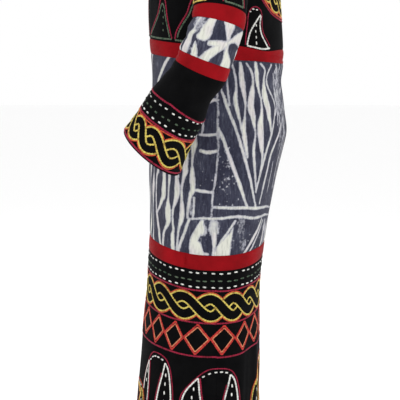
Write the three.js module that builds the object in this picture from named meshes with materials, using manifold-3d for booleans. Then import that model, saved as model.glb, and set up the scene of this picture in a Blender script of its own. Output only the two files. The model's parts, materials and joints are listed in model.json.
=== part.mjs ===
// Ndop dress: a worn, full-length gown of three cloths, hollow from neckline to hem.
// A black velvet bodice, a panel of indigo resist-dyed strip cloth over the hips, and a black velvet skirt
// are joined by plain red bands. Each long sleeve repeats the order: velvet, red, indigo, red, velvet cuff.
//
// Millimetres, +Z up, the wearer faces -Y and the left arm is at +X. The origin lies between the shoulders,
// level with the inner ends of the shoulder seams, where the wearer carries the dress.
//
// Every cloth is a wall wrapped on the form of the worn garment. The form is a short table of sections,
// blended smoothly; a panel is a flat box, and a tube a lathed ring, whose points are moved onto it.

import * as THREE from "three";
import { mergeVertices } from "three/addons/utils/BufferGeometryUtils.js";
import Module from "manifold-3d";

const wasm = await Module();
wasm.setup();

// Cloth
const velvetWall = 2.4; // embroidered velvet with its backing
const cottonWall = 2.0; // strip cloth
const bandWall = 2.0; // red satin bands
const seamGap = 0.3; // between two pieces that are sewn together
const halfGap = seamGap / 2;

// Seams of the body, as drops below the shoulder point, measured at the side of the body
const waistBandDrop = 416;
const waistBandDepth = 31;
const kneeBandDrop = 854;
const kneeBandDepth = 33;
const hemDrop = 1350;

// Seams of the sleeve, as runs along its middle line from inside the armhole
const elbowBandRun = 286;
const elbowBandDepth = 26;
const wristBandRun = 381;
const wristBandDepth = 23;
const cuffEndRun = 597;

// Shape of the body's sections
const roundness = 2.25; // exponent: 2 is an ellipse, more is squarer

// Mesh steps round the body and the sleeve, and down each piece
const bodySteps = 48;
const sleeveSteps = 20;
const bodiceRows = 14;
const ndopRows = 11;
const skirtRows = 10;
const upperSleeveRows = 9;
const sleeveNdopRows = 3;
const cuffRows = 6;
const bandRows = 1;

// The worn body of the dress, from the neckline to the hem. drop: below the shoulder point at the side.
// halfWidth: to the left and right. front, back: from the middle line. frontLift, backLift: how much higher
// the section runs at the front and at the back than at the side.
const bodySections = [
  { drop: 0, halfWidth: 78, front: 74, back: 58, frontLift: -62, backLift: -12 },
  { drop: 20, halfWidth: 124, front: 86, back: 76, frontLift: -70, backLift: -34 },
  { drop: 46, halfWidth: 182, front: 96, back: 94, frontLift: -72, backLift: -50 },
  { drop: 110, halfWidth: 186, front: 116, back: 114, frontLift: -48, backLift: -34 },
  { drop: 225, halfWidth: 169, front: 141, back: 128, frontLift: -8, backLift: -6 },
  { drop: 322, halfWidth: 161, front: 146, back: 139, frontLift: 4, backLift: -4 },
  { drop: 416, halfWidth: 160, front: 145, back: 146, frontLift: 12, backLift: -12 },
  { drop: 449, halfWidth: 161, front: 142, back: 147, frontLift: 11, backLift: -11 },
  { drop: 494, halfWidth: 167, front: 139, back: 144, frontLift: 8, backLift: -8 },
  { drop: 560, halfWidth: 184, front: 142, back: 151, frontLift: 5, backLift: -4 },
  { drop: 600, halfWidth: 192, front: 144, back: 155, frontLift: 4, backLift: -2 },
  { drop: 645, halfWidth: 196, front: 146, back: 146, frontLift: 4, backLift: -1 },
  { drop: 705, halfWidth: 193, front: 147, back: 132, frontLift: 6, backLift: -1 },
  { drop: 775, halfWidth: 184, front: 146, back: 119, frontLift: 13, backLift: 2 },
  { drop: 854, halfWidth: 170, front: 147, back: 108, frontLift: 22, backLift: 9 },
  { drop: 881, halfWidth: 166, front: 149, back: 105, frontLift: 22, backLift: 10 },
  { drop: 964, halfWidth: 159, front: 153, back: 98, frontLift: 23, backLift: 14 },
  { drop: 1056, halfWidth: 156, front: 162, back: 99, frontLift: 24, backLift: 17 },
  { drop: 1150, halfWidth: 158, front: 170, back: 100, frontLift: 17, backLift: 13 },
  { drop: 1217, halfWidth: 162, front: 177, back: 99, frontLift: 9, backLift: 7 },
  { drop: 1350, halfWidth: 172, front: 188, back: 106, frontLift: 0, backLift: 0 },
];

// Soft folds of the body. bearing: degrees from the left side through the front. from, to: drops between
// which the fold runs. spread: degrees. depth: outwards, so a trough is negative.
const bodyFolds = [
  { bearing: 20, from: 1010, to: 1470, spread: 10, depth: -6 },
  { bearing: 52, from: 960, to: 1480, spread: 11, depth: 5 },
  { bearing: 104, from: 1030, to: 1500, spread: 9, depth: -7 },
  { bearing: 141, from: 990, to: 1460, spread: 11, depth: 5 },
  { bearing: 168, from: 1060, to: 1480, spread: 9, depth: -6 },
  { bearing: 206, from: 1000, to: 1450, spread: 10, depth: -5 },
  { bearing: 243, from: 940, to: 1470, spread: 10, depth: 5 },
  { bearing: 283, from: 1000, to: 1490, spread: 8, depth: -6 },
  { bearing: 312, from: 930, to: 1440, spread: 8, depth: -5 },
  { bearing: 334, from: 960, to: 1480, spread: 8, depth: 5 },
  { bearing: 250, from: 450, to: 520, spread: 20, depth: -3 },
  { bearing: 286, from: 455, to: 560, spread: 13, depth: -4 },
  { bearing: 66, from: 300, to: 420, spread: 9, depth: -3 },
  { bearing: 118, from: 310, to: 415, spread: 9, depth: -3 },
  { bearing: 232, from: 290, to: 410, spread: 10, depth: -4 },
  { bearing: 305, from: 280, to: 410, spread: 10, depth: -4 },
];

// The left sleeve, from inside the armhole to the cuff's edge. run: along the middle line. x, y, z: its
// middle. splay: degrees that it runs outwards from straight down. lean: degrees that it runs forwards.
// halfAcross: from front to back. halfThick: from the body side to the outer side.
const sleeveSections = [
  { run: 0, x: 138, y: 8, z: -130, splay: 78, lean: 0, halfAcross: 66, halfThick: 82 },
  { run: 48, x: 186, y: 8, z: -144, splay: 55, lean: 0, halfAcross: 68, halfThick: 78 },
  { run: 106, x: 222, y: 9, z: -190, splay: 36, lean: 0, halfAcross: 64, halfThick: 67 },
  { run: 165, x: 250, y: 9, z: -241, splay: 27, lean: 1, halfAcross: 60, halfThick: 60 },
  { run: 244, x: 283, y: 7, z: -312, splay: 22, lean: 4, halfAcross: 55, halfThick: 54 },
  { run: 283, x: 297, y: 3, z: -348, splay: 17, lean: 9, halfAcross: 53, halfThick: 51 },
  { run: 309, x: 302, y: -2, z: -373, splay: 12, lean: 13, halfAcross: 53, halfThick: 50 },
  { run: 349, x: 305, y: -14, z: -411, splay: 4, lean: 18, halfAcross: 53, halfThick: 49 },
  { run: 383, x: 304, y: -26, z: -443, splay: -3, lean: 21, halfAcross: 53, halfThick: 50 },
  { run: 411, x: 301, y: -37, z: -469, splay: -8, lean: 24, halfAcross: 54, halfThick: 51 },
  { run: 449, x: 294, y: -61, z: -500, splay: -12, lean: 27, halfAcross: 53, halfThick: 53 },
  { run: 487, x: 286, y: -78, z: -531, splay: -14, lean: 29, halfAcross: 60, halfThick: 56 },
  { run: 545, x: 274, y: -106, z: -580, splay: -16, lean: 32, halfAcross: 63, halfThick: 59 },
  { run: 597, x: 262, y: -131, z: -626, splay: -16, lean: 39, halfAcross: 71, halfThick: 64 },
];

// Creases of the sleeve, at the bend of the elbow. bearing: degrees from the outer side through the front.
const sleeveFolds = [
  { bearing: 96, from: 268, to: 372, spread: 20, depth: -5 },
  { bearing: 40, from: 300, to: 400, spread: 16, depth: 2 },
  { bearing: 140, from: 296, to: 384, spread: 15, depth: -3 },
  { bearing: 262, from: 180, to: 300, spread: 22, depth: -4 },
];

// A column of a table at a place between its rows, on a smooth curve through them.
function blend(rows, key, column, place) {
  const last = rows.length - 1;
  let i = 0;
  while (i < last - 1 && place > rows[i + 1][key]) i++;
  const slope = (k) => {
    const a = rows[Math.max(k - 1, 0)];
    const b = rows[Math.min(k + 1, last)];
    return (b[column] - a[column]) / (b[key] - a[key]);
  };
  const span = rows[i + 1][key] - rows[i][key];
  const t = (place - rows[i][key]) / span;
  return (
    rows[i][column] * (1 + 2 * t) * (1 - t) ** 2 +
    slope(i) * span * t * (1 - t) ** 2 +
    rows[i + 1][column] * t * t * (3 - 2 * t) +
    slope(i + 1) * span * t * t * (t - 1)
  );
}

// How far the folds of a table push the cloth outwards at a bearing and a place.
function foldPush(folds, angle, place) {
  let push = 0;
  for (const fold of folds) {
    const along = (place - fold.from) / (fold.to - fold.from);
    if (along <= 0 || along >= 1) continue;
    const off = THREE.MathUtils.radToDeg(angle) - fold.bearing;
    const turned = (((off + 180) % 360) + 360) % 360 - 180;
    push += fold.depth * Math.sin(Math.PI * along) ** 2 * Math.exp(-((turned / fold.spread) ** 2));
  }
  return push;
}

// A point of the body's outer surface, out: how far outside it.
function onBody(angle, drop, out = 0) {
  const size = (column) => blend(bodySections, "drop", column, drop);
  const c = Math.cos(angle);
  const s = Math.sin(angle);
  const power = 2 / roundness;
  const push = foldPush(bodyFolds, angle, drop);
  const depth = s > 0 ? size("front") : size("back");
  const lift = s > 0 ? size("frontLift") : size("backLift");
  return new THREE.Vector3(
    Math.sign(c) * Math.abs(c) ** power * (size("halfWidth") + push + out),
    -Math.sign(s) * Math.abs(s) ** power * (depth + push + out),
    -drop + lift * s * s,
  );
}

// A point of the left sleeve's outer surface, or as far inside it as out is negative.
function onSleeve(angle, run, out = 0) {
  const size = (column) => blend(sleeveSections, "run", column, run);
  const push = foldPush(sleeveFolds, angle, run) + out;
  const lean = THREE.MathUtils.degToRad(size("lean"));
  const splay = THREE.MathUtils.degToRad(size("splay"));
  return new THREE.Vector3(
    Math.cos(angle) * (size("halfThick") + push),
    -Math.sin(angle) * (size("halfAcross") + push),
    0,
  )
    .applyAxisAngle(new THREE.Vector3(1, 0, 0), -lean)
    .applyAxisAngle(new THREE.Vector3(0, 1, 0), -splay)
    .add(new THREE.Vector3(size("x"), size("y"), size("z")));
}

// The inner point of a wall: square to the surface, so that the wall is as thick everywhere.
function inside(surface, angle, place, wall) {
  const nearAngle = 0.01;
  const nearPlace = 0.5;
  const across = surface(angle + nearAngle, place).sub(surface(angle - nearAngle, place));
  const along = surface(angle, place + nearPlace).sub(surface(angle, Math.max(place - nearPlace, 0)));
  const inward = along.cross(across).normalize();
  return surface(angle, place).addScaledVector(inward, wall);
}

// Moves the points of a flat or lathed geometry, where(x, y, z) giving each one its new place.
function moved(geometry, where) {
  const position = geometry.getAttribute("position");
  for (let i = 0; i < position.count; i++) {
    const p = where(position.getX(i), position.getY(i), position.getZ(i));
    position.setXYZ(i, p.x, p.y, p.z);
  }
  geometry.deleteAttribute("normal");
  geometry.deleteAttribute("uv");
  return mergeVertices(geometry, 1e-4);
}

// A panel of the body between two bearings, given in half turns, and two drops: a thin box, wrapped.
function panel(fromHalf, dropTop, dropBottom, rows, wall) {
  const box = new THREE.BoxGeometry(1, 1, 1, bodySteps / 2, rows, 1);
  return moved(box, (x, y, z) => {
    const drop = THREE.MathUtils.lerp(dropBottom - halfGap, dropTop + halfGap, y + 0.5);
    const margin = halfGap / blend(bodySections, "drop", "halfWidth", drop);
    const angle = Math.PI * fromHalf + THREE.MathUtils.lerp(margin, Math.PI - margin, 0.5 - x);
    return z > 0 ? onBody(angle, drop) : inside(onBody, angle, drop, wall);
  });
}

// A tube with an open middle between two places along a surface: a lathed ring of wall, moved.
function tube(surface, from, to, rows, steps, wall) {
  const inner = 1;
  const outer = 2;
  const profile = [];
  for (let i = 0; i <= rows; i++) profile.push(new THREE.Vector2(outer, -to + ((to - from) * i) / rows));
  for (let i = rows; i >= 0; i--) profile.push(new THREE.Vector2(inner, -to + ((to - from) * i) / rows));
  profile.push(profile[0].clone());
  return moved(new THREE.LatheGeometry(profile, steps), (x, y, z) => {
    const angle = Math.atan2(z, x);
    return Math.hypot(x, z) > (inner + outer) / 2
      ? surface(angle, -y)
      : inside(surface, angle, -y, wall);
  });
}

// A filled plug inside a surface, to cut with. out: how far its skin lies outside the surface.
function plug(surface, from, to, rows, steps, out) {
  const can = new THREE.CylinderGeometry(1, 1, to - from, steps, rows);
  return moved(can, (x, y, z) => {
    const place = (from + to) / 2 - y;
    if (Math.hypot(x, z) > 0.5) return surface(Math.atan2(z, x), place, out);
    return surface(0, place, out).add(surface(Math.PI, place, out)).multiplyScalar(0.5);
  });
}

// The other side's copy of a geometry.
function mirrored(geometry) {
  const copy = geometry.clone().scale(-1, 1, 1);
  const index = copy.index.array;
  for (let i = 0; i < index.length; i += 3) [index[i], index[i + 1]] = [index[i + 1], index[i]];
  return copy;
}

function toSolid(geometry) {
  const merged = mergeVertices(geometry, 1e-4);
  return new wasm.Manifold(
    new wasm.Mesh({
      numProp: 3,
      vertProperties: Float32Array.from(merged.getAttribute("position").array),
      triVerts: Uint32Array.from(merged.index.array),
    }),
  );
}

function toGeometry(solid) {
  const mesh = solid.getMesh();
  const geometry = new THREE.BufferGeometry();
  geometry.setAttribute("position", new THREE.BufferAttribute(mesh.vertProperties, 3));
  geometry.setIndex(new THREE.BufferAttribute(mesh.triVerts, 1));
  return geometry;
}

const velvet = new THREE.MeshStandardMaterial({ color: 0x141414, roughness: 0.95, metalness: 0 });
const redSatin = new THREE.MeshStandardMaterial({ color: 0xa3141c, roughness: 0.6, metalness: 0 });
const ndopCotton = new THREE.MeshStandardMaterial({ color: 0x6f7086, roughness: 0.9, metalness: 0 });

const dress = new THREE.Group();

function add(name, geometry, material) {
  const mesh = new THREE.Mesh(geometry, material);
  mesh.name = name;
  dress.add(mesh);
}

// Bodice: a front and a back, each with half of both armholes
const waistBandEnd = waistBandDrop + waistBandDepth;
const kneeBandEnd = kneeBandDrop + kneeBandDepth;
const leftArm = plug(onSleeve, 0, elbowBandRun, upperSleeveRows, sleeveSteps, -velvetWall);
const arms = toSolid(leftArm).add(toSolid(mirrored(leftArm)));
for (const [name, fromHalf] of [["bodice_front", 0], ["bodice_back", 1]]) {
  const cloth = panel(fromHalf, 0, waistBandDrop, bodiceRows, velvetWall);
  add(name, toGeometry(toSolid(cloth).subtract(arms)), velvet);
}

// Body below the waist
function addBand(name, from, to) {
  add(name, tube(onBody, from + halfGap, to - halfGap, bandRows, bodySteps, bandWall), redSatin);
}

addBand("waist_band", waistBandDrop, waistBandEnd);
add("ndop_front", panel(0, waistBandEnd, kneeBandDrop, ndopRows, cottonWall), ndopCotton);
add("ndop_back", panel(1, waistBandEnd, kneeBandDrop, ndopRows, cottonWall), ndopCotton);
addBand("knee_band", kneeBandDrop, kneeBandEnd);
add("skirt_front", panel(0, kneeBandEnd, hemDrop, skirtRows, velvetWall), velvet);
add("skirt_back", panel(1, kneeBandEnd, hemDrop, skirtRows, velvetWall), velvet);

// Sleeves: each piece is cut in one and closed under the arm. The upper one is trimmed to the bodice.
const torso = toSolid(plug(onBody, 0, waistBandDrop, bodiceRows, bodySteps, seamGap));
const upperArm = tube(onSleeve, 0, elbowBandRun - halfGap, upperSleeveRows, sleeveSteps, velvetWall);
add("sleeve_upper_left", toGeometry(toSolid(upperArm).subtract(torso)), velvet);
add("sleeve_upper_right", toGeometry(toSolid(mirrored(upperArm)).subtract(torso)), velvet);

function addPair(name, from, to, rows, wall, material) {
  const piece = tube(onSleeve, from, to, rows, sleeveSteps, wall);
  add(name + "_left", piece, material);
  add(name + "_right", mirrored(piece), material);
}

const elbowBandEnd = elbowBandRun + elbowBandDepth;
const wristBandEnd = wristBandRun + wristBandDepth;
addPair("elbow_band", elbowBandRun + halfGap, elbowBandEnd - halfGap, bandRows, bandWall, redSatin);
addPair("sleeve_ndop", elbowBandEnd + halfGap, wristBandRun - halfGap, sleeveNdopRows, cottonWall, ndopCotton);
addPair("wrist_band", wristBandRun + halfGap, wristBandEnd - halfGap, bandRows, bandWall, redSatin);
addPair("cuff", wristBandEnd + halfGap, cuffEndRun, cuffRows, velvetWall, velvet);

export default dress;
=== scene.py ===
# Ndop dress: shells of velvet, satin and resist-dyed cotton laid on the frame's solids, and the embroidery on
# them. Lengths are in millimetres in the tables and in metres in Blender, hence the factor mm.
import json
import math

import bmesh
import bpy
import numpy as np
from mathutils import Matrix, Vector


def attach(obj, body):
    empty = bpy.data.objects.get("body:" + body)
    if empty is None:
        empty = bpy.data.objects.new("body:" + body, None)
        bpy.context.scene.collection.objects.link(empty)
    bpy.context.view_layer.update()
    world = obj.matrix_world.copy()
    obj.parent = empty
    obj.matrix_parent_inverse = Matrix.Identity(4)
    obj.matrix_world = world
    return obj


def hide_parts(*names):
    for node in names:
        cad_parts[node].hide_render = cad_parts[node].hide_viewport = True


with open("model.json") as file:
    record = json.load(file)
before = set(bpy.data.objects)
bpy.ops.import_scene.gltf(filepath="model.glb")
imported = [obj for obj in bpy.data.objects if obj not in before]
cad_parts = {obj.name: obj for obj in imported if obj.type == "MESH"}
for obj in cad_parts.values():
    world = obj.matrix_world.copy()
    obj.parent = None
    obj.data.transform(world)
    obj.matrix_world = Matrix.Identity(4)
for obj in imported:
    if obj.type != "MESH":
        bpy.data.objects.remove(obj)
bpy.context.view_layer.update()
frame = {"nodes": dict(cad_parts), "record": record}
mm = 0.001
print("frame loaded:", len(frame["nodes"]), "nodes")

# Rings of the body. drop: below the shoulder point at the side. The lifts say how much higher a ring runs at
# the front and back.
bodyForm = {
    "roundness": 2.25,
    "columns": ("drop", "halfWidth", "front", "back", "frontLift", "backLift"),
    "rows": (
        (0, 78, 74, 58, -62, -12),
        (20, 124, 86, 76, -70, -34),
        (46, 182, 96, 94, -72, -50),
        (110, 186, 116, 114, -48, -34),
        (225, 169, 141, 128, -8, -6),
        (322, 161, 146, 139, 4, -4),
        (416, 160, 145, 146, 12, -12),
        (449, 161, 142, 147, 11, -11),
        (494, 167, 139, 144, 8, -8),
        (560, 184, 142, 151, 5, -4),
        (600, 192, 144, 155, 4, -2),
        (645, 196, 146, 146, 4, -1),
        (705, 193, 147, 132, 6, -1),
        (775, 184, 146, 119, 13, 2),
        (854, 170, 147, 108, 22, 9),
        (881, 166, 149, 105, 22, 10),
        (964, 159, 153, 98, 23, 14),
        (1056, 156, 162, 99, 24, 17),
        (1150, 158, 170, 100, 17, 13),
        (1217, 162, 177, 99, 9, 7),
        (1350, 172, 188, 106, 0, 0),
    ),
}

# Rings of the left sleeve. run: along its middle line, from inside the armhole to the cuff's edge
sleeveForm = {
    "columns": ("run", "x", "y", "z", "splay", "lean", "halfAcross", "halfThick"),
    "rows": (
        (0, 138, 8, -130, 78, 0, 66, 82),
        (48, 186, 8, -144, 55, 0, 68, 78),
        (106, 222, 9, -190, 36, 0, 64, 67),
        (165, 250, 9, -241, 27, 1, 60, 60),
        (244, 283, 7, -312, 22, 4, 55, 54),
        (283, 297, 3, -348, 17, 9, 53, 51),
        (309, 302, -2, -373, 12, 13, 53, 50),
        (349, 305, -14, -411, 4, 18, 53, 49),
        (383, 304, -26, -443, -3, 21, 53, 50),
        (411, 301, -37, -469, -8, 24, 54, 51),
        (449, 294, -61, -500, -12, 27, 53, 53),
        (487, 286, -78, -531, -14, 29, 60, 56),
        (545, 274, -106, -580, -16, 32, 63, 59),
        (597, 262, -131, -626, -16, 39, 71, 64),
    ),
}

# Seams: drops on the body and runs on the sleeve
seams = {
    "waistTop": 416,
    "waistBottom": 447,
    "kneeTop": 854,
    "kneeBottom": 887,
    "hem": 1350,
    "elbowTop": 286,
    "elbowBottom": 312,
    "wristTop": 381,
    "wristBottom": 404,
    "cuffEnd": 597,
    "gap": 0.3,
}

# Long soft folds that run down the body. bearing: degrees from the left side through the front, at the
# fold's middle. lean: degrees that it swings from start to end. A negative depth is a trough.
bodyFolds = (
    # bearing, start, end, lean, spread, depth
    (20, 1010, 1470, 0, 10, -6),
    (52, 960, 1480, 0, 11, 5),
    (104, 1030, 1500, 0, 9, -7),
    (141, 990, 1460, 0, 11, 5),
    (168, 1060, 1480, 0, 9, -6),
    (206, 1000, 1450, 0, 10, -5),
    (243, 940, 1470, 0, 10, 5),
    (283, 1000, 1490, 0, 8, -6),
    (312, 930, 1440, 0, 8, -5),
    (334, 960, 1480, 0, 8, 5),
    (250, 450, 520, 0, 20, -3),
    (286, 455, 560, 0, 13, -4),
    (66, 300, 420, 0, 9, -3),
    (118, 310, 415, 0, 9, -3),
    (232, 290, 410, 0, 10, -4),
    (305, 280, 410, 0, 10, -4),
    # creases of the cloth itself, finer than the solids show
    (322, 1000, 1330, 7, 3.2, -2.4),
    (341, 1060, 1400, -6, 3.5, 2.2),
    (300, 980, 1290, 4, 3.0, 1.8),
    (12, 1080, 1380, 5, 4.0, 1.6),
    (60, 1120, 1420, -6, 4.0, -2.0),
    (128, 1040, 1360, 5, 3.5, 2.0),
    (216, 1020, 1340, -6, 3.5, -2.2),
    (262, 1070, 1400, 6, 3.5, 2.2),
    (276, 449, 545, 5, 2.2, -1.9),
    (283, 449, 580, -4, 1.8, 1.6),
    (290, 449, 560, 4, 1.9, -1.8),
    (297, 449, 590, -5, 2.2, 1.5),
    (304, 449, 530, 5, 2.0, -1.5),
    (24, 843, 898, 0, 1.5, -5.5),  # the join of the knee band
    (236, 449, 570, -5, 2.2, -1.7),
    (244, 449, 540, 4, 1.9, 1.5),
    (258, 449, 560, 3, 2.1, -1.8),
    (268, 449, 600, -3, 2.4, 1.4),
    (78, 449, 520, 5, 2.6, -1.3),
    (98, 449, 540, -5, 2.6, -1.4),
    (40, 600, 830, 9, 5.0, -1.7),
    (134, 590, 820, -9, 5.0, -1.6),
    (300, 640, 840, 8, 4.5, -1.6),
    (240, 650, 850, -7, 4.5, -1.5),
    (50, 150, 330, 16, 6.0, 2.6),
    (128, 160, 330, -16, 6.0, 2.4),
    (304, 170, 350, -14, 5.0, 2.2),
    (236, 170, 360, 14, 5.0, 2.1),
)

# Short creases that run round the body, as at a bend or a strained seam
bodyWrinkles = (
    # bearing, drop, tilt (mm of drop for each degree), reach (degrees), width, depth
    (284, 441, 0.25, 20, 5, -2.0),
    (300, 430, -0.2, 14, 4, 1.2),
    (262, 437, -0.3, 16, 5, -1.6),
    (294, 466, 0.3, 18, 7, -1.8),
    (250, 470, -0.3, 18, 7, -1.6),
    (330, 560, 0.9, 24, 10, 1.3),
    (30, 520, -0.8, 26, 10, 1.2),
    (210, 555, -0.9, 24, 10, 1.2),
    (150, 520, 0.8, 26, 10, 1.1),
    (8, 262, 0.7, 22, 8, -2.0),
    (172, 266, -0.7, 22, 8, -2.0),
    (330, 300, -0.8, 26, 9, -1.6),
    (211, 306, 0.8, 26, 9, -1.5),
)

sleeveFolds = (
    (96, 268, 372, 0, 20, -5),
    (40, 300, 400, 0, 16, 2),
    (140, 296, 384, 0, 15, -3),
    (262, 180, 300, 0, 22, -4),
    (20, 420, 560, 14, 8, -1.6),
    (336, 430, 600, -12, 9, 1.8),
    (70, 440, 600, 10, 9, 1.4),
    (300, 60, 220, 20, 9, -2.2),
    (60, 70, 230, -18, 9, -2.0),
)

sleeveWrinkles = (
    (84, 292, 0.14, 42, 4, -1.8),
    (92, 312, -0.12, 46, 5, -2.4),
    (74, 331, 0.16, 40, 5, 1.8),
    (88, 352, -0.14, 44, 6, -2.2),
    (70, 372, 0.12, 38, 5, 1.4),
    (96, 392, -0.1, 36, 5, -1.4),
    (40, 262, 0.2, 34, 6, -1.4),
    (110, 430, 0.3, 40, 8, -1.8),
    (30, 452, -0.25, 36, 9, -1.4),
    (300, 128, 0.4, 40, 8, -1.8),
    (262, 96, 0.3, 50, 7, -2.2),
    (270, 132, -0.3, 46, 8, 1.8),
)

# A slow unevenness all over the body: its height and waves round, and the millimetres of drop that turn it
bodyRipple = {"height": 0.5, "waves": 5, "twist": 31, "swell": 47, "start": 2}

# Where the bodice sags over the waist band: bearing, drop, spread in degrees, depth of the sag, height
waistSags = ((319, 416, 20, 8, 13), (221, 417, 20, 7, 13))


def blend(form, column, place):
    # a smooth curve through the rows of a form's table
    rows = np.array(form["rows"], float)
    key, value = rows[:, 0], rows[:, form["columns"].index(column)]
    below = np.maximum(np.arange(len(key)) - 1, 0)
    above = np.minimum(np.arange(len(key)) + 1, len(key) - 1)
    slope = (value[above] - value[below]) / (key[above] - key[below])
    i = np.clip(np.searchsorted(key, place) - 1, 0, len(key) - 2)
    span = key[i + 1] - key[i]
    t = (place - key[i]) / span
    return (
        value[i] * (1 + 2 * t) * (1 - t) ** 2
        + slope[i] * span * t * (1 - t) ** 2
        + value[i + 1] * t * t * (3 - 2 * t)
        + slope[i + 1] * span * t * t * (t - 1)
    )


def turnedFrom(angle, bearing):
    # degrees from a bearing, between -180 and 180
    return (np.degrees(angle) - bearing + 180) % 360 - 180


def creasePush(folds, wrinkles, angle, place):
    # how far the tables of folds and wrinkles push the cloth out
    push = np.zeros(np.shape(angle))
    for bearing, start, end, lean, spread, depth in folds:
        along = np.clip((place - start) / (end - start), 0, 1)
        off = turnedFrom(angle, bearing + lean * (along - 0.5))
        push = push + depth * np.sin(np.pi * along) ** 2 * np.exp(-((off / spread) ** 2))
    for bearing, middle, tilt, reach, width, depth in wrinkles:
        off = turnedFrom(angle, bearing)
        across = (place - middle - tilt * off) / width
        push = push + depth * np.exp(-((off / reach) ** 4) - across**2)
    return push


def onBody(angle, drop, out=0.0):
    # points of the body's cloth. angle: 0 at the left side, and a quarter turn at the front
    angle, drop = np.broadcast_arrays(np.asarray(angle, float), np.asarray(drop, float))
    c, s = np.cos(angle), np.sin(angle)
    power = 2 / bodyForm["roundness"]
    push = creasePush(bodyFolds, bodyWrinkles, angle, drop) + out
    ripple = np.sin(bodyRipple["waves"] * angle + drop / bodyRipple["twist"])
    ripple = ripple * np.sin(drop / bodyRipple["swell"] + bodyRipple["start"])
    push = push + bodyRipple["height"] * ripple
    depth = np.where(s > 0, blend(bodyForm, "front", drop), blend(bodyForm, "back", drop))
    lift = np.where(s > 0, blend(bodyForm, "frontLift", drop), blend(bodyForm, "backLift", drop))
    x = np.sign(c) * np.abs(c) ** power * (blend(bodyForm, "halfWidth", drop) + push)
    y = -np.sign(s) * np.abs(s) ** power * (depth + push)
    z = lift * s * s - drop
    for bearing, middle, spread, sag, reach in waistSags:
        z = z - sag * np.exp(-((turnedFrom(angle, bearing) / spread) ** 2) - ((drop - middle) / reach) ** 2)
    return np.stack([x, y, z], -1) * mm


def onSleeve(angle, run, out=0.0):
    # points of the left sleeve. angle: 0 on the outside, and a quarter turn at the front
    angle, run = np.broadcast_arrays(np.asarray(angle, float), np.asarray(run, float))
    push = creasePush(sleeveFolds, sleeveWrinkles, angle, run) + out
    lean, splay = (np.radians(blend(sleeveForm, key, run)) for key in ("lean", "splay"))
    thick = np.cos(angle) * (blend(sleeveForm, "halfThick", run) + push)
    across = -np.sin(angle) * (blend(sleeveForm, "halfAcross", run) + push)
    dip = -across * np.sin(lean)
    x = thick * np.cos(splay) - dip * np.sin(splay)
    z = thick * np.sin(splay) + dip * np.cos(splay)
    middle = [blend(sleeveForm, key, run) for key in "xyz"]
    return np.stack([x + middle[0], across * np.cos(lean) + middle[1], z + middle[2]], -1) * mm


def onRightSleeve(angle, run, out=0.0):
    return onSleeve(np.pi - np.asarray(angle, float), run, out) * np.array([-1, 1, 1])


def outward(surface, angle, place):
    # the surface's own normal
    near = 1e-3
    across = surface(angle + near, place) - surface(angle - near, place)
    down = surface(angle, place + 1) - surface(angle, place - 1)
    normal = np.cross(across, down)
    return normal / np.linalg.norm(normal, axis=-1, keepdims=True)


def girth(surface, place, count=720):
    # angles round a ring, and how far each lies from angle 0: towards the back first, in millimetres
    angles = np.linspace(-np.pi, np.pi, count + 1)
    ring = surface(angles, np.full(angles.shape, float(place)))
    far = np.concatenate([[0], np.cumsum(np.linalg.norm(np.diff(ring, axis=0), axis=1))]) / mm
    return angles, np.interp(0, angles, far) - far


def roundAt(surface, place):
    # how to turn a distance round the ring at one place into an angle, and the whole way round
    angles, around = girth(surface, place)
    total = around[0] - around[-1]

    def angleOf(distance):
        wrapped = (np.asarray(distance, float) - around[-1]) % total + around[-1]
        return np.interp(wrapped, around[::-1], angles[::-1])

    return angleOf, total


def newMaterial(name):
    material = bpy.data.materials.new(name)
    material.use_nodes = True
    tree = material.node_tree
    return material, tree, tree.nodes["Principled BSDF"]


def setInputs(made, values):
    for key, value in values.items():
        made.inputs[key].default_value = value


def node(tree, kind, values=None, **settings):
    made = tree.nodes.new(kind)
    for key, value in settings.items():
        setattr(made, key, value)
    setInputs(made, values or {})
    return made


def feed(tree, socket, value):
    # value: a number or a colour, or what another node gives
    if isinstance(value, bpy.types.NodeSocket):
        tree.links.new(value, socket)
    else:
        socket.default_value = value


def noiseOn(tree, vector, scale, detail=3.0, roughness=0.55):
    noise = node(tree, "ShaderNodeTexNoise", {"Scale": scale, "Detail": detail, "Roughness": roughness})
    tree.links.new(vector, noise.inputs["Vector"])
    return noise.outputs["Fac"]


def rampBetween(tree, factor, stops):
    stops = list(stops)
    ramp = node(tree, "ShaderNodeValToRGB")
    while len(ramp.color_ramp.elements) < len(stops):
        ramp.color_ramp.elements.new(0.5)
    for element, (place, colour) in zip(ramp.color_ramp.elements, stops):
        element.position = place
        element.color = (*colour, 1)
    tree.links.new(factor, ramp.inputs["Fac"])
    return ramp.outputs["Color"]


def mixed(tree, factor, first, second, kind="MIX"):
    # a colour mix has its factor in socket 0 and its colours in sockets 6 and 7
    mix = node(tree, "ShaderNodeMix", data_type="RGBA", blend_type=kind)
    for place, value in ((0, factor), (6, first), (7, second)):
        feed(tree, mix.inputs[place], value)
    return mix.outputs[2]


def maths(tree, kind, first, second=0.0):
    made = node(tree, "ShaderNodeMath", operation=kind)
    for place, value in enumerate((first, second)):
        feed(tree, made.inputs[place], value)
    return made.outputs[0]


def wanderBy(tree, vector, scale, detail, reach):
    # noise about zero, reach from its least to its most
    return maths(tree, "MULTIPLY", maths(tree, "SUBTRACT", noiseOn(tree, vector, scale, detail), 0.5), reach)


def mappedFrom(tree, value, low, high, **settings):
    # 0 at low and 1 at high
    span = node(tree, "ShaderNodeMapRange", {"From Min": low, "From Max": high}, **settings)
    tree.links.new(value, span.inputs["Value"])
    return span.outputs["Result"]


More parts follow.
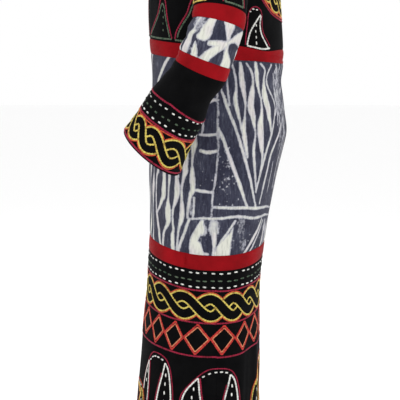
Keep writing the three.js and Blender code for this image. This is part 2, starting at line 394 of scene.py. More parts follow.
def bumped(tree, shader, heights):
    # heights: (socket, distance in metres, strength), each bump laid on the one before
    normal = None
    for height, distance, strength in heights:
        bump = node(tree, "ShaderNodeBump", {"Distance": distance, "Strength": strength})
        tree.links.new(height, bump.inputs["Height"])
        if normal:
            tree.links.new(normal, bump.inputs["Normal"])
        normal = bump.outputs["Normal"]
    tree.links.new(normal, shader.inputs["Normal"])


waveLength = 0.314  # a wave texture of scale 1 repeats after this many metres


def weaveOn(tree, vector, pitch):
    # two sets of yarns at right angles, pitch in metres
    yarns = []
    for direction in ("X", "Y"):
        values = {"Scale": waveLength / pitch, "Distortion": 0.6, "Detail": 1.0}
        wave = node(tree, "ShaderNodeTexWave", values, bands_direction=direction)
        tree.links.new(vector, wave.inputs["Vector"])
        yarns.append(wave.outputs["Fac"])
    return maths(tree, "MULTIPLY", yarns[0], yarns[1])


# In the looks, a scale is that of a noise, and a bump is its distance in metres and its strength.
velvetLook = {
    "dark": (0.0018, 0.0018, 0.0020),
    "light": (0.0034, 0.0034, 0.0037),
    "stops": (0.35, 0.7),
    "brushedScale": 34,
    "brushedBump": (0.003, 0.25),
    "napScale": 1500,
    "napBump": (0.0007, 0.35),
    "finish": {
        "Roughness": 0.9,
        "Specular IOR Level": 0.04,
        "Sheen Weight": 0.02,
        "Sheen Roughness": 0.45,
        "Sheen Tint": (0.55, 0.55, 0.62, 1),
    },
}


def makeVelvet():
    material, tree, shader = newMaterial("black velvet")
    place = node(tree, "ShaderNodeTexCoord").outputs["Object"]
    brushed = noiseOn(tree, place, velvetLook["brushedScale"], 4)
    nap = noiseOn(tree, place, velvetLook["napScale"], 2)
    stops = zip(velvetLook["stops"], (velvetLook["dark"], velvetLook["light"]))
    tree.links.new(rampBetween(tree, brushed, stops), shader.inputs["Base Color"])
    setInputs(shader, velvetLook["finish"])
    bumped(tree, shader, ((brushed, *velvetLook["brushedBump"]), (nap, *velvetLook["napBump"])))
    return material


satinLook = {
    "dark": (0.165, 0.004, 0.006),
    "light": (0.295, 0.006, 0.010),
    "stops": (0.3, 0.68),
    "cloudScale": 14,
    "cloudBump": (0.004, 0.3),
    "weavePitch": 0.0011,
    "weaveBump": (0.0003, 0.5),
    "slubScale": 420,
    "slubBump": (0.0004, 0.3),
    "finish": {
        "Roughness": 0.5,
        "Specular IOR Level": 0.015,
        "Sheen Weight": 0.03,
        "Sheen Tint": (1, 0.1, 0.12, 1),
    },
}


def makeSatin():
    material, tree, shader = newMaterial("red satin")
    coords = node(tree, "ShaderNodeTexCoord")
    cloudy = noiseOn(tree, coords.outputs["Object"], satinLook["cloudScale"], 4)
    slub = noiseOn(tree, coords.outputs["Object"], satinLook["slubScale"], 2)
    stops = zip(satinLook["stops"], (satinLook["dark"], satinLook["light"]))
    tree.links.new(rampBetween(tree, cloudy, stops), shader.inputs["Base Color"])
    setInputs(shader, satinLook["finish"])
    weave = weaveOn(tree, coords.outputs["UV"], satinLook["weavePitch"])
    heights = ((cloudy, "cloudBump"), (weave, "weaveBump"), (slub, "slubBump"))
    bumped(tree, shader, [(height, *satinLook[bump]) for height, bump in heights])
    return material


# The resist leaves strokes of undyed cotton. The cloth's "undyed" attribute is the distance in millimetres
# to a stroke's edge, positive inside it.
ndopLook = {
    "indigoDeep": (0.015, 0.015, 0.030),
    "indigo": (0.027, 0.028, 0.049),
    "indigoFaded": (0.050, 0.053, 0.082),
    "indigoPale": (0.20, 0.21, 0.25),
    "cottonCream": (0.63, 0.635, 0.565),
    "cottonPink": (0.61, 0.575, 0.57),
    "cottonCool": (0.39, 0.395, 0.445),
    "fleck": (0.12, 0.125, 0.165),
    "fleckScale": 420,
    "fleckStops": (0.68, 0.76),
    # millimetres that a stroke's edge strays, finely and slowly, and between which it fades
    "raggedScale": 260,
    "ragged": 3.2,
    "wanderScale": 70,
    "wander": 3.0,
    "fade": (-1.4, 0.4),
    # the dye creeps this far into the strokes, and leaves the wide ones white
    "creep": 2.6,
    "cottonStops": (0.42, 0.55),
    "cottonShade": 0.72,
    "shadeStops": (0.34, 0.52),
    # streaks along the yarns and clouds share in how deep the dye is
    "streakStretch": (9.0, 1.6, 1.0),
    "streakScale": 26,
    "streakShare": 0.62,
    "cloudScale": 17,
    "dyeStops": (0.34, 0.48, 0.6, 0.74),
    "cloudBump": (0.004, 0.3),
    "weavePitch": 0.0016,
    "weaveBump": (0.0005, 0.6),
    "yarnScale": 640,
    "yarnBump": (0.0005, 0.5),
    "finish": {"Roughness": 0.88, "Specular IOR Level": 0.15, "Sheen Weight": 0.05},
}


def makeNdop():
    look = ndopLook
    material, tree, shader = newMaterial("ndop cotton")
    coords = node(tree, "ShaderNodeTexCoord")
    place, flat = coords.outputs["Object"], coords.outputs["UV"]
    undyed = node(tree, "ShaderNodeAttribute", attribute_name="undyed").outputs["Fac"]
    ragged = wanderBy(tree, place, look["raggedScale"], 3, look["ragged"])
    wander = wanderBy(tree, place, look["wanderScale"], 2, look["wander"])
    edge = maths(tree, "ADD", undyed, maths(tree, "ADD", ragged, wander))
    streakSize = node(tree, "ShaderNodeMapping", {"Scale": look["streakStretch"]})
    tree.links.new(flat, streakSize.inputs["Vector"])
    streaks = noiseOn(tree, streakSize.outputs["Vector"], look["streakScale"], 5, 0.65)
    cloudy = noiseOn(tree, place, look["cloudScale"], 4)
    dye = maths(
        tree,
        "ADD",
        maths(tree, "MULTIPLY", streaks, look["streakShare"]),
        maths(tree, "MULTIPLY", cloudy, 1 - look["streakShare"]),
    )
    tones = (look["indigo" + tone] for tone in ("Deep", "", "Faded", "Pale"))
    indigo = rampBetween(tree, dye, zip(look["dyeStops"], tones))
    onOff = zip(look["fleckStops"], ((0, 0, 0), (1, 1, 1)))
    flecks = rampBetween(tree, noiseOn(tree, place, look["fleckScale"], 1), onOff)
    blue = mixed(tree, flecks, indigo, (*look["fleck"], 1))
    warm = zip(look["cottonStops"], (look["cottonPink"], look["cottonCream"]))
    wide = rampBetween(tree, cloudy, warm)
    cotton = mixed(tree, mappedFrom(tree, edge, 0.0, look["creep"]), (*look["cottonCool"], 1), wide)
    shades = zip(look["shadeStops"], ((look["cottonShade"],) * 3, (1, 1, 1)))
    white = mixed(tree, 1.0, cotton, rampBetween(tree, streaks, shades), "MULTIPLY")
    soft = mappedFrom(tree, edge, *look["fade"], interpolation_type="SMOOTHSTEP")
    tree.links.new(mixed(tree, soft, blue, white), shader.inputs["Base Color"])
    setInputs(shader, look["finish"])
    weave = weaveOn(tree, flat, look["weavePitch"])
    yarn = noiseOn(tree, place, look["yarnScale"], 2)
    heights = ((cloudy, "cloudBump"), (weave, "weaveBump"), (yarn, "yarnBump"))
    bumped(tree, shader, [(height, *look[bump]) for height, bump in heights])
    return material


threadLooks = {
    # the thread's colour, a darker copy of it that is painted shade of its ply, and the slot that it belongs
    # to
    "white": {"light": (0.70, 0.70, 0.66), "dark": (0.36, 0.36, 0.34), "slot": "white_thread"},
    "magenta": {"light": (0.27, 0.008, 0.034), "dark": (0.12, 0.004, 0.013), "slot": "magenta_thread"},
    "orange": {"light": (0.56, 0.085, 0.030), "dark": (0.30, 0.020, 0.015), "slot": "orange_thread"},
    "red": {"light": (0.50, 0.035, 0.026), "dark": (0.24, 0.010, 0.012), "slot": "orange_thread"},
    "coral": {"light": (0.62, 0.22, 0.11), "dark": (0.42, 0.05, 0.03), "slot": "orange_thread"},
    "yellow": {"light": (0.58, 0.47, 0.10), "dark": (0.26, 0.15, 0.03), "slot": "yellow_thread"},
    "green": {"light": (0.085, 0.115, 0.075), "dark": (0.012, 0.050, 0.024), "slot": "green_thread"},
}


allThreads = {
    # stops: where the noise turns from the painted ply shade to the thread's own colour
    "stops": (0.34, 0.52),
    "patchScale": 150,
    "fibreScale": 1300,
    "fibreBump": (0.0006, 0.6),
    "finish": {"Roughness": 0.6, "Specular IOR Level": 0.12, "Sheen Weight": 0.05},
}


def makeThread(name, look):
    material, tree, shader = newMaterial(name + " thread")
    place = node(tree, "ShaderNodeTexCoord").outputs["Object"]
    # painted shade: noise patches lay the darker copy of each thread over it, as the shade between its plies
    paintedPlyShade = noiseOn(tree, place, allThreads["patchScale"], 3)
    fibre = noiseOn(tree, place, allThreads["fibreScale"], 2)
    stops = zip(allThreads["stops"], (look["dark"], look["light"]))
    tree.links.new(rampBetween(tree, paintedPlyShade, stops), shader.inputs["Base Color"])
    setInputs(shader, allThreads["finish"])
    bumped(tree, shader, ((fibre, *allThreads["fibreBump"]),))
    return material


velvet, satin, ndop = makeVelvet(), makeSatin(), makeNdop()
threadMaterials = {name: makeThread(name, look) for name, look in threadLooks.items()}
print("materials made")


def newObject(name, mesh, material):
    piece = bpy.data.objects.new(name, mesh)
    bpy.context.scene.collection.objects.link(piece)
    mesh.materials.clear()
    mesh.materials.append(material)
    return piece


def applyModifiers(piece):
    bpy.context.view_layer.update()
    evaluated = piece.evaluated_get(bpy.context.evaluated_depsgraph_get())
    finished = bpy.data.meshes.new_from_object(evaluated)
    piece.modifiers.clear()
    old, piece.data = piece.data, finished
    bpy.data.meshes.remove(old)


def clothMesh(name, surface, angles, places, step, profile, capped=False):
    # a flat grid, wrapped on a surface: it turns from angles[0] to angles[1] and runs down places. profile:
    # how far out it lies
    around = girth(surface, sum(places) / 2)
    span = abs(np.subtract(*np.interp(angles, around[0], around[1])))
    columns, rows = max(round(span / step), 8), max(round((places[1] - places[0]) / step), 2)
    bm = bmesh.new()
    bmesh.ops.create_grid(bm, x_segments=columns, y_segments=rows, size=1)
    mesh = bpy.data.meshes.new(name)
    bm.to_mesh(mesh)
    bm.free()
    flat = np.empty(len(mesh.vertices) * 3)
    mesh.vertices.foreach_get("co", flat)
    x, y = flat.reshape(-1, 3)[:, 0], flat.reshape(-1, 3)[:, 1]
    angle = angles[1] + (angles[0] - angles[1]) * (x + 1) / 2
    place = places[1] + (places[0] - places[1]) * (y + 1) / 2
    mesh.vertices.foreach_set("co", surface(angle, place, profile(angle, place)).ravel())
    # the cloth's own coordinates, in metres
    across = np.interp(angle, around[0], around[1])
    loops = np.empty(len(mesh.loops), int)
    mesh.loops.foreach_get("vertex_index", loops)
    layer = mesh.uv_layers.new(name="cloth")
    layer.data.foreach_set("uv", (np.stack([across, -place], -1)[loops] * mm).astype(np.float32).ravel())
    for key, values in (("bearing", angle), ("place", place)):
        mesh.attributes.new(key, "FLOAT", "POINT").data.foreach_set("value", values.astype(np.float32))
    bm = bmesh.new()
    bm.from_mesh(mesh)
    bmesh.ops.remove_doubles(bm, verts=bm.verts, dist=1e-6)
    if capped:
        bmesh.ops.holes_fill(bm, edges=[e for e in bm.edges if e.is_boundary], sides=0)
        bmesh.ops.recalc_face_normals(bm, faces=bm.faces)
    bm.to_mesh(mesh)
    bm.free()
    return mesh


# How far each kind of piece turns in at its seams, and over which reach
seamEdges = {
    "bodice": (1.0, 4.0),
    "panel": (1.1, 5.0),
    "ring": (0.8, 2.6),
}


def edgeProfile(places, edge, puff=0.0):
    # cloth turns in at its seams, and a band puffs out between them
    dip, reach = seamEdges[edge]

    def profile(angle, place):
        top, bottom = place - places[0], places[1] - place
        turned = dip * np.exp(-((top / reach) ** 2))
        turned = turned + dip * np.exp(-((bottom / reach) ** 2))
        middle = np.clip(4 * top * bottom / (places[1] - places[0]) ** 2, 0, 1)
        return puff * np.sqrt(middle) - turned

    return profile


def thicken(piece, wall):
    # the wall grows inwards
    solid = piece.modifiers.new("wall", "SOLIDIFY")
    solid.thickness = wall * mm
    solid.offset = -1
    solid.use_even_offset = True
    applyModifiers(piece)


def cutWith(piece, mesh):
    cutter = newObject("cutter", mesh, velvet)
    cut = piece.modifiers.new("cut", "BOOLEAN")
    cut.operation = "DIFFERENCE"
    cut.solver = "EXACT"
    cut.object = cutter
    applyModifiers(piece)
    bpy.data.objects.remove(cutter)
    bpy.data.meshes.remove(mesh)


creaseAngle = 55  # degrees; a sharper edge is shaded as one


def finishCloth(piece, nodeName):
    for polygon in piece.data.polygons:
        polygon.use_smooth = True
    piece.data.set_sharp_from_angle(angle=math.radians(creaseAngle))
    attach(piece, "root")
    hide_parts(nodeName)


# Wall and mesh step of each cloth, and how far a band of it puffs out
velvetCloth = {"wall": 2.2, "step": 6.0}
satinCloth = {"wall": 1.8, "step": 3.0, "puff": 0.5}
ndopCloth = {"wall": 1.8, "step": 2.6}
plug = {"sleeveStep": 9, "torsoStep": 7, "clearance": 0.2}

halfTurn = math.pi
halfGap = seams["gap"] / 2
seamTurn = halfGap / 165  # the same at the side of the body, as an angle
frontAngles = (seamTurn, halfTurn - seamTurn)
backAngles = (-halfTurn + seamTurn, -seamTurn)
allRound = (-halfTurn, halfTurn)
cloths = {}


def makeCloth(name, surface, angles, places, look, material, edge):
    profile = edgeProfile(places, edge, look.get("puff", 0.0))
    return newObject(name, clothMesh(name, surface, angles, places, look["step"], profile), material)


def sleevePlug(surface):
    # fills the hollow of a sleeve, to cut the armhole
    inside = -velvetCloth["wall"] - plug["clearance"]
    places, step = (0, seams["elbowTop"]), plug["sleeveStep"]
    return clothMesh("plug", surface, allRound, places, step, lambda angle, place: inside, True)


def torsoPlug():
    # fills the bodice and the gap round it, to cut the sleeve's head
    places, step = (0, seams["waistTop"]), plug["torsoStep"]
    return clothMesh("plug", onBody, allRound, places, step, lambda angle, place: seams["gap"], True)


for side, angles in (("front", frontAngles), ("back", backAngles)):
    places = (halfGap, seams["waistTop"] - halfGap)
    piece = makeCloth("bodice" + side.capitalize(), onBody, angles, places, velvetCloth, velvet, "bodice")
    thicken(piece, velvetCloth["wall"])
    for surface in (onSleeve, onRightSleeve):
        cutWith(piece, sleevePlug(surface))
    cloths["bodice_" + side] = piece
print("bodice laid")


def between(top, bottom):
    # from seam to seam; the cuff's end is no seam
    return seams[top] + halfGap, seams[bottom] - (halfGap if bottom != "cuffEnd" else 0)


for part in ("waist", "knee"):
    places = between(part + "Top", part + "Bottom")
    cloths[part + "_band"] = makeCloth(part + "Band", onBody, allRound, places, satinCloth, satin, "ring")
for side, angles in (("front", frontAngles), ("back", backAngles)):
    for part, top, bottom, look, material in (
        ("ndop", "waistBottom", "kneeTop", ndopCloth, ndop),
        ("skirt", "kneeBottom", "hem", velvetCloth, velvet),
    ):
        name, places = part + side.capitalize(), between(top, bottom)
        cloths[part + "_" + side] = makeCloth(name, onBody, angles, places, look, material, "panel")
print("bands, ndop and skirt laid")

for side, surface in (("left", onSleeve), ("right", onRightSleeve)):
    places = (0, seams["elbowTop"] - halfGap)
    name = "sleeveUpper" + side.capitalize()
    upper = makeCloth(name, surface, allRound, places, velvetCloth, velvet, "bodice")
    thicken(upper, velvetCloth["wall"])
    cutWith(upper, torsoPlug())
    cloths["sleeve_upper_" + side] = upper
    for nodeName, top, bottom, look, material in (
        ("elbow_band_", "elbowTop", "elbowBottom", satinCloth, satin),
        ("sleeve_ndop_", "elbowBottom", "wristTop", ndopCloth, ndop),
        ("wrist_band_", "wristTop", "wristBottom", satinCloth, satin),
        ("cuff_", "wristBottom", "cuffEnd", velvetCloth, velvet),
    ):
        name = nodeName.replace("_", "") + side.capitalize()
        piece = makeCloth(name, surface, allRound, between(top, bottom), look, material, "ring")
        cloths[nodeName + side] = piece
print("sleeves laid")


def smoothLine(points, steps=5):
    # a rounded (Catmull-Rom) line through given points, whatever their columns
    points = np.array(points, float)
    if len(points) < 3:
        return points
    padded = np.vstack([2 * points[0] - points[1], points, 2 * points[-1] - points[-2]])
    t = np.linspace(0, 1, steps, endpoint=False)[:, None]
    lines = []
    for a, b, c, d in zip(padded[:-3], padded[1:-2], padded[2:-1], padded[3:]):
        bent = (2 * a - 5 * b + 4 * c - d) * t**2 + (3 * b - a - 3 * c + d) * t**3
        lines.append(0.5 * (2 * b + (c - a) * t + bent))
    return np.vstack(lines + [points[-1:]])


# In millimetres: how near a seam a stroke has to end to run on under it, how thin a stroke may be, how far
# round a stroke the distance is worked out, and what counts as far away
strokeRules = {"topSeam": 6, "bottomSeam": 12, "thinnest": 0.5, "margin": 6, "away": -9.0}


def undyedBy(strokes, across, place):
    # millimetres inside the nearest stroke; a stroke is a line of (across, place, half width)
    edges = place.min(), place.max()
    inside = np.full(across.shape, strokeRules["away"])
    for stroke in strokes:
        stroke = np.array(stroke, float)
        if stroke[0, 1] < edges[0] + strokeRules["topSeam"]:
            stroke = np.vstack([1.5 * stroke[0] - 0.5 * stroke[1], stroke])
        if stroke[-1, 1] > edges[1] - strokeRules["bottomSeam"] and len(stroke) > 2:
            stroke = np.vstack([stroke, stroke[-1] + (stroke[-1] - stroke[-2]) * (1, 1, 0)])
        line = smoothLine(np.maximum(stroke, (-np.inf, -np.inf, strokeRules["thinnest"])))
        reach = line[:, 2].max() + strokeRules["margin"]
        near = np.flatnonzero(
            (across > line[:, 0].min() - reach)
            & (across < line[:, 0].max() + reach)
            & (place > line[:, 1].min() - reach)
            & (place < line[:, 1].max() + reach)
        )
        if not len(near):
            continue
        px, py = across[near], place[near]
        best = inside[near]
        for a, b in zip(line[:-1], line[1:]):
            dx, dy = b[0] - a[0], b[1] - a[1]
            length = max(dx * dx + dy * dy, 1e-9)
            t = np.clip(((px - a[0]) * dx + (py - a[1]) * dy) / length, 0, 1)
            far = np.hypot(px - a[0] - t * dx, py - a[1] - t * dy)
            best = np.maximum(best, a[2] + (b[2] - a[2]) * t - far)
        inside[near] = best
    return inside


# Points that a lens stripe has in a pitch, how sharply it swells, and how far a dot runs across and down
stripes = {"points": 6, "sharpness": 1.3, "dotLength": 0.6}


def lensStripe(start, top, bottom, pitch, thick, phase=0.0, thin=1.8, sway=3.0):
    # a line down the cloth that swells into a lens once every pitch
    points = []
    count = max(int((bottom - top) / pitch * stripes["points"]), 2)
    for k in range(count + 1):
        drop = top + (bottom - top) * k / count
        turn = 2 * math.pi * ((drop - top) / pitch + phase)
        swell = max(math.sin(turn), 0) ** stripes["sharpness"]
        points.append((start + sway * math.cos(turn), drop, thin + (thick - thin) * swell))
    return points


def scatteredDots(corners, count, size, seed):
    # tiny undyed dots between two corners, each a stroke of almost no length
    spread = np.random.default_rng(seed)
    (left, top), (right, bottom) = corners
    spots, length = [], stripes["dotLength"]
    for _ in range(count):
        x, y = spread.uniform(left, right), spread.uniform(top, bottom)
        spots.append([(x, y, size), (x + length, y + length, size)])
    return spots


# Strokes of the side of the body, as (distance behind the side seam, drop, half width). First the chevron
chevronStrokes = [
    [(7, 503, 1.5), (14, 522, 2.6), (25, 552, 2.8), (37, 582, 2.6), (47, 612, 2.6), (58, 645, 2.8),
     (73, 690, 3.0), (85, 728, 2.6), (94, 753, 2)],
    [(2, 582, 1.6), (12, 606, 3), (23, 636, 3.4), (39, 680, 3.8), (53, 714, 3.4), (62, 738, 2.8),
     (69, 752, 2)],
    [(20, 470, 1.2), (22, 505, 1.4), (26, 538, 1.2)],
    [(30, 452, 2), (37, 476, 2.2), (40, 500, 2), (38, 524, 4), (42, 548, 4), (48, 574, 2), (54, 600, 1.3),
     (62, 640, 1.2)],
    [(49, 452, 2.6), (51, 476, 5.2), (54, 500, 5.6), (59, 528, 2.6), (59, 552, 1.6), (56, 586, 4.2),
     (60, 616, 4.4), (65, 645, 1.6)],
    [(62, 452, 1.6), (74, 470, 2.2), (78, 490, 2.4), (75, 515, 6.2), (72, 540, 7.6), (78, 568, 5),
     (83, 598, 1.6), (80, 630, 3.4), (84, 668, 3), (90, 706, 1.6), (93, 722, 1)],
    [(84, 452, 3.4), (87, 474, 5), (90, 498, 3.8), (99, 530, 1.6), (99, 556, 4.2), (96, 586, 8),
     (100, 620, 6.4), (105, 650, 2.6), (101, 680, 2), (94, 712, 1.5)],
    [(97, 452, 2), (109, 464, 2), (107, 486, 2.6), (109, 514, 7.4), (118, 544, 8), (125, 574, 4.2),
     (128, 600, 1)],
    [(130, 452, 2), (118, 472, 1.8), (116, 490, 2), (126, 508, 2), (139, 524, 1.8), (147, 544, 2),
     (142, 566, 2), (130, 600, 2.6), (116, 638, 3), (105, 672, 3), (97, 700, 2.4), (92, 720, 1.8)],
    [(174, 578, 1.6), (160, 602, 3), (146, 624, 3), (134, 646, 3), (128, 670, 2.6), (122, 692, 2.6),
     (115, 722, 2.4), (108, 748, 1.8)],
    [(-8, 748, 2.2), (20, 750, 3), (60, 752, 3), (96, 757, 3.2), (128, 759, 2.8), (158, 762, 2),
     (186, 768, 1.6)],
    [(-54, 776, 1.6), (-30, 773, 2.4), (0, 773, 2.6), (45, 770, 2.8), (88, 778, 3), (122, 779, 2.6),
     (150, 780, 2), (186, 786, 1.6)],
    # plain lines behind the chevron
    [(150, 452, 1.6), (160, 470, 2.0), (156, 492, 1.2), (163, 516, 1.6), (158, 540, 1.2), (168, 566, 1.4)],
    [(140, 470, 1.0), (147, 500, 1.2), (153, 528, 1.4), (158, 560, 1.0)],
    [(186, 560, 1.4), (192, 596, 2), (188, 634, 1.5), (180, 676, 1.8), (176, 720, 1.4)],
    [(206, 600, 1.6), (204, 646, 2.4), (198, 690, 2), (196, 740, 1.4)],
    [(150, 660, 1.1), (146, 690, 1.5), (140, 726, 1.2)],
]
# the long box and its cross bars, in front of the chevron
boxStrokes = [
    [(0, 510, 1.6), (2, 545, 1.9), (1, 580, 1.8), (2, 622, 1.6), (0, 660, 1.6), (-4, 694, 1.6),
     (-9, 726, 1.7), (-11, 772, 1.5)],
    [(-18, 533, 2.6), (-8, 528, 3), (3, 528, 1.6)],
    [(-36, 598, 2), (-20, 599, 2.6), (0, 597, 2.2)],
    [(-34, 631, 3), (-18, 634, 3.4), (0, 631, 3)],
    [(-46, 713, 2.4), (-28, 715, 3.2), (-9, 717, 2.6)],
    [(-31, 556, 1.5), (-29, 578, 2), (-31, 597, 1.6)],
]
# triangles and flames that stand on the knee band
bottomStrokes = [
    [(-30, 778, 3.2), (-34, 788, 5.6), (-38, 800, 7.6), (-44, 812, 8.4), (-49, 824, 8.4), (-50, 838, 9),
     (-50, 850, 9)],
    [(-30, 790, 3), (-30, 800, 4.6), (-32, 808, 3)],
    [(-46, 826, 6), (-40, 835, 8.4), (-37, 850, 9)],
    [(-42, 849, 4), (-20, 851, 3)],
    [(-6, 806, 5.4), (-5, 823, 4.4), (-6, 836, 3), (-7, 850, 2.6)],
    [(39, 779, 2.4), (31, 791, 2.2), (21, 806, 2.2), (11, 820, 2.4), (2, 836, 2.6), (-3, 848, 2.6)],
    [(34, 795, 1.6), (30, 807, 3.6), (25, 817, 7), (20, 827, 10.5), (15, 837, 14), (12, 850, 16)],
    [(124, 786, 2.6), (112, 804, 4), (100, 816, 4), (86, 831, 4), (73, 845, 3)],
    [(134, 790, 1.6), (120, 808, 2), (104, 828, 2.2), (88, 848, 2.4)],
    [(150, 792, 2), (144, 810, 3), (138, 830, 4), (132, 850, 4)],
    [(178, 794, 2.5), (172, 812, 4.6), (170, 834, 6), (172, 850, 7)],
    [(206, 786, 6), (208, 808, 8), (212, 830, 9), (214, 850, 9)],
]
# the stripes of lenses towards the front, with a band across the belly
frontStrokes = [
    [(-113, 449, 3.2), (-128, 466, 3.8), (-144, 484, 3.8), (-160, 501, 3)],
    [(-196, 449, 3), (-214, 470, 3.6), (-232, 492, 3)],
    [(-62, 628, 2), (-66, 640, 6), (-68, 662, 6.5), (-68, 675, 6.3), (-71, 687, 3.6), (-76, 708, 2.6),
     (-77, 731, 3), (-76, 753, 5), (-76, 771, 6), (-78, 782, 5.4), (-82, 795, 3.6), (-85, 808, 2.6),
     (-88, 832, 2.4), (-90, 852, 2.4)],
    [(-52, 590, 2), (-49, 600, 5.5), (-48, 617, 7), (-50, 634, 4), (-52, 657, 1.8), (-52, 675, 4.4),
     (-51.5, 694, 6), (-51, 714, 5.2), (-56, 724, 4.2), (-59, 740, 3.4), (-62, 758, 2.8), (-63, 775, 2.2)],
    [(-48, 730, 1.8), (-49, 750, 2.3), (-50, 766, 2.3), (-52, 776, 2)],
    [(-59, 777, 2.6), (-66, 797, 3), (-72, 813, 3), (-83, 843, 3), (-86, 853, 3)],
    [(-90, 684, 3), (-89, 703, 6.6), (-89, 722, 7.6), (-93, 741, 5.6), (-98, 755, 3), (-101, 768, 2.4),
     (-101, 788, 2.4), (-99, 806, 3.2), (-101, 820, 4.8), (-101, 836, 5.2), (-101, 852, 5)],
    [(-111, 684, 4), (-113, 699, 3.2), (-115, 721, 1.8), (-116, 739, 2.4), (-116, 752, 5.5),
     (-116, 767, 9), (-116, 779, 9.3), (-115, 790, 7.4), (-118, 801, 4.8), (-126, 814, 3.2),
     (-130, 828, 3.2), (-132, 850, 3.2)],
    [(-129, 680, 5), (-129, 703, 6), (-131, 722, 7.6), (-131, 735, 7.4), (-138, 749, 5), (-146, 764, 4),
     (-155, 776, 3), (-159, 784, 2)],
    [(-152, 674, 5), (-157, 686, 4), (-163, 703, 2.8), (-164, 740, 2.8), (-163, 776, 3), (-160, 788, 4.4),
     (-155, 806, 4.2), (-149, 823, 4.4), (-144, 846, 4)],
    [(-104, 560, 1.4), (-128, 548, 1.8), (-160, 553, 1.8), (-196, 547, 1.8), (-236, 552, 1.8),
     (-285, 548, 1.6)],
    [(-262, 449, 1.6), (-266, 500, 2.0), (-262, 548, 1.6)],
]
for k, (start, bottom) in enumerate(((-68, 626), (-88, 688), (-108, 688), (-130, 688), (-150, 688))):
    top, pitch, phase = 560 + 7 * (k % 3), 126 + 5 * (k % 2), 0.5 * (k % 2) + 0.6
    frontStrokes.append(lensStripe(start, top, bottom, pitch, 7.8, phase))
for k, start in enumerate(range(-182, -285, -19)):
    top, pitch, phase = 560 + 12 * (k % 3), 148 + 7 * (k % 2), 0.5 * (k % 2) + 0.13
    frontStrokes.append(lensStripe(start, top, 853, pitch, 7.6 - 0.6 * (k % 3), phase))
sideStrokes = chevronStrokes + boxStrokes + bottomStrokes + frontStrokes
for k in range(10):
    # fine lines that run close together over the seat
    start, top, bottom, pitch = 150 + 7.5 * k, 449 + 17 * (k % 3), 560 + 23 * (k % 4), 47 + 6 * (k % 4)
    sideStrokes.append(lensStripe(start, top, bottom, pitch, 1.7, 0.37 * k, 0.5, 3.4))
for corners, count, size, seed in (
    # dots in the chevron, behind the box, under the chevron and over the knee band
    (((5, 610), (28, 745)), 34, 0.1, 3),
    (((18, 680), (52, 745)), 7, 0.9, 5),
    (((-38, 640), (-6, 770)), 6, 0.3, 8),
    (((112, 690), (200, 748)), 22, 0.3, 13),
    (((60, 782), (130, 850)), 14, 0.3, 21),
):
    sideStrokes += scatteredDots(corners, count, size, seed)

# Crumpled places that the dye reached only in part: (across, place, half width, half height, undyed)
sidePatches = (
    (168, 500, 34, 70, -0.9),
    (182, 620, 26, 70, -1.2),
    (138, 690, 14, 60, -1.5),
    (190, 720, 22, 60, -1.4),
    (-6, 793, 12, 20, 1.2),
    (-27, 798, 10, 18, -0.2),
    (-38, 812, 12, 24, -1.0),
    (53, 783, 15, 15, -0.6),
    (54, 804, 13, 26, -0.9),
    (58, 832, 13, 24, -0.7),
    (28, 826, 16, 26, -1.1),
    (-55, 754, 5, 24, -0.5),
    (150, 820, 22, 46, -0.5),
    (18, 680, 14, 60, -1.6),
)
sleevePatches = (
    (-34, 322, 17, 22, -0.1),
    (-6, 318, 7, 12, -0.4),
    (42, 322, 14, 14, -1.2),
    (-42, 364, 12, 20, -0.8),
)
# the sleeve's strokes, as (distance behind the outside of the sleeve, run, half width)
sleeveStrokes = [
    [(-6, 312, 5.5), (-11, 322, 8.5), (-14, 332, 11), (-15, 339, 11.5), (-20, 344, 8), (-26, 346, 4.5)],
    [(27, 312, 11), (29, 322, 8), (31, 334, 4), (33, 341, 2)],
    [(-2, 352, 4), (12, 349, 5), (26, 345, 4), (36, 341, 3), (46, 334, 5), (58, 330, 9), (75, 328, 14),
     (98, 330, 14)],
    [(31, 346, 3), (22, 352, 5.5), (12, 360, 7), (2, 370, 8), (-3, 380, 9)],
    [(33, 346, 3), (36, 358, 5), (42, 370, 9), (47, 380, 14)],
    [(-30, 357, 1.5), (-28, 366, 4.5), (-25, 378, 7)],
    [(-38, 338, 3), (-46, 346, 7), (-50, 358, 10), (-50, 372, 9), (-52, 381, 9)],
    [(-34, 312, 2.4), (-38, 326, 2), (-42, 336, 1.6)],
    [(72, 352, 5), (82, 366, 8), (94, 380, 11)],
    [(112, 311, 10), (112, 326, 8), (110, 340, 3)],
    [(110, 344, 3), (122, 358, 6), (134, 372, 9), (138, 383, 10)],
    [(150, 311, 4), (140, 328, 7), (128, 342, 4)],
    [(-78, 311, 9), (-84, 326, 7), (-90, 342, 3)],
    [(-92, 346, 3), (-104, 360, 7), (-116, 376, 10)],
    [(-96, 340, 3), (-118, 334, 6), (-140, 330, 8), (-170, 330, 9)],
    [(-88, 348, 3), (-82, 362, 6), (-76, 380, 9)],
]


# The other side is drawn by the same hand, not copied: how far it strays, and over how many millimetres of
# drop and of width each stray comes and goes
otherHand = {"across": 2.2, "acrossWave": (37, 60), "place": 2.0, "placeWave": (90, 41)}
# Where a patch's edge starts, in shares of its size, how steeply it falls, and how far out it is followed
patchEdge = {"start": 0.6, "fall": 5, "reach": 1.6}


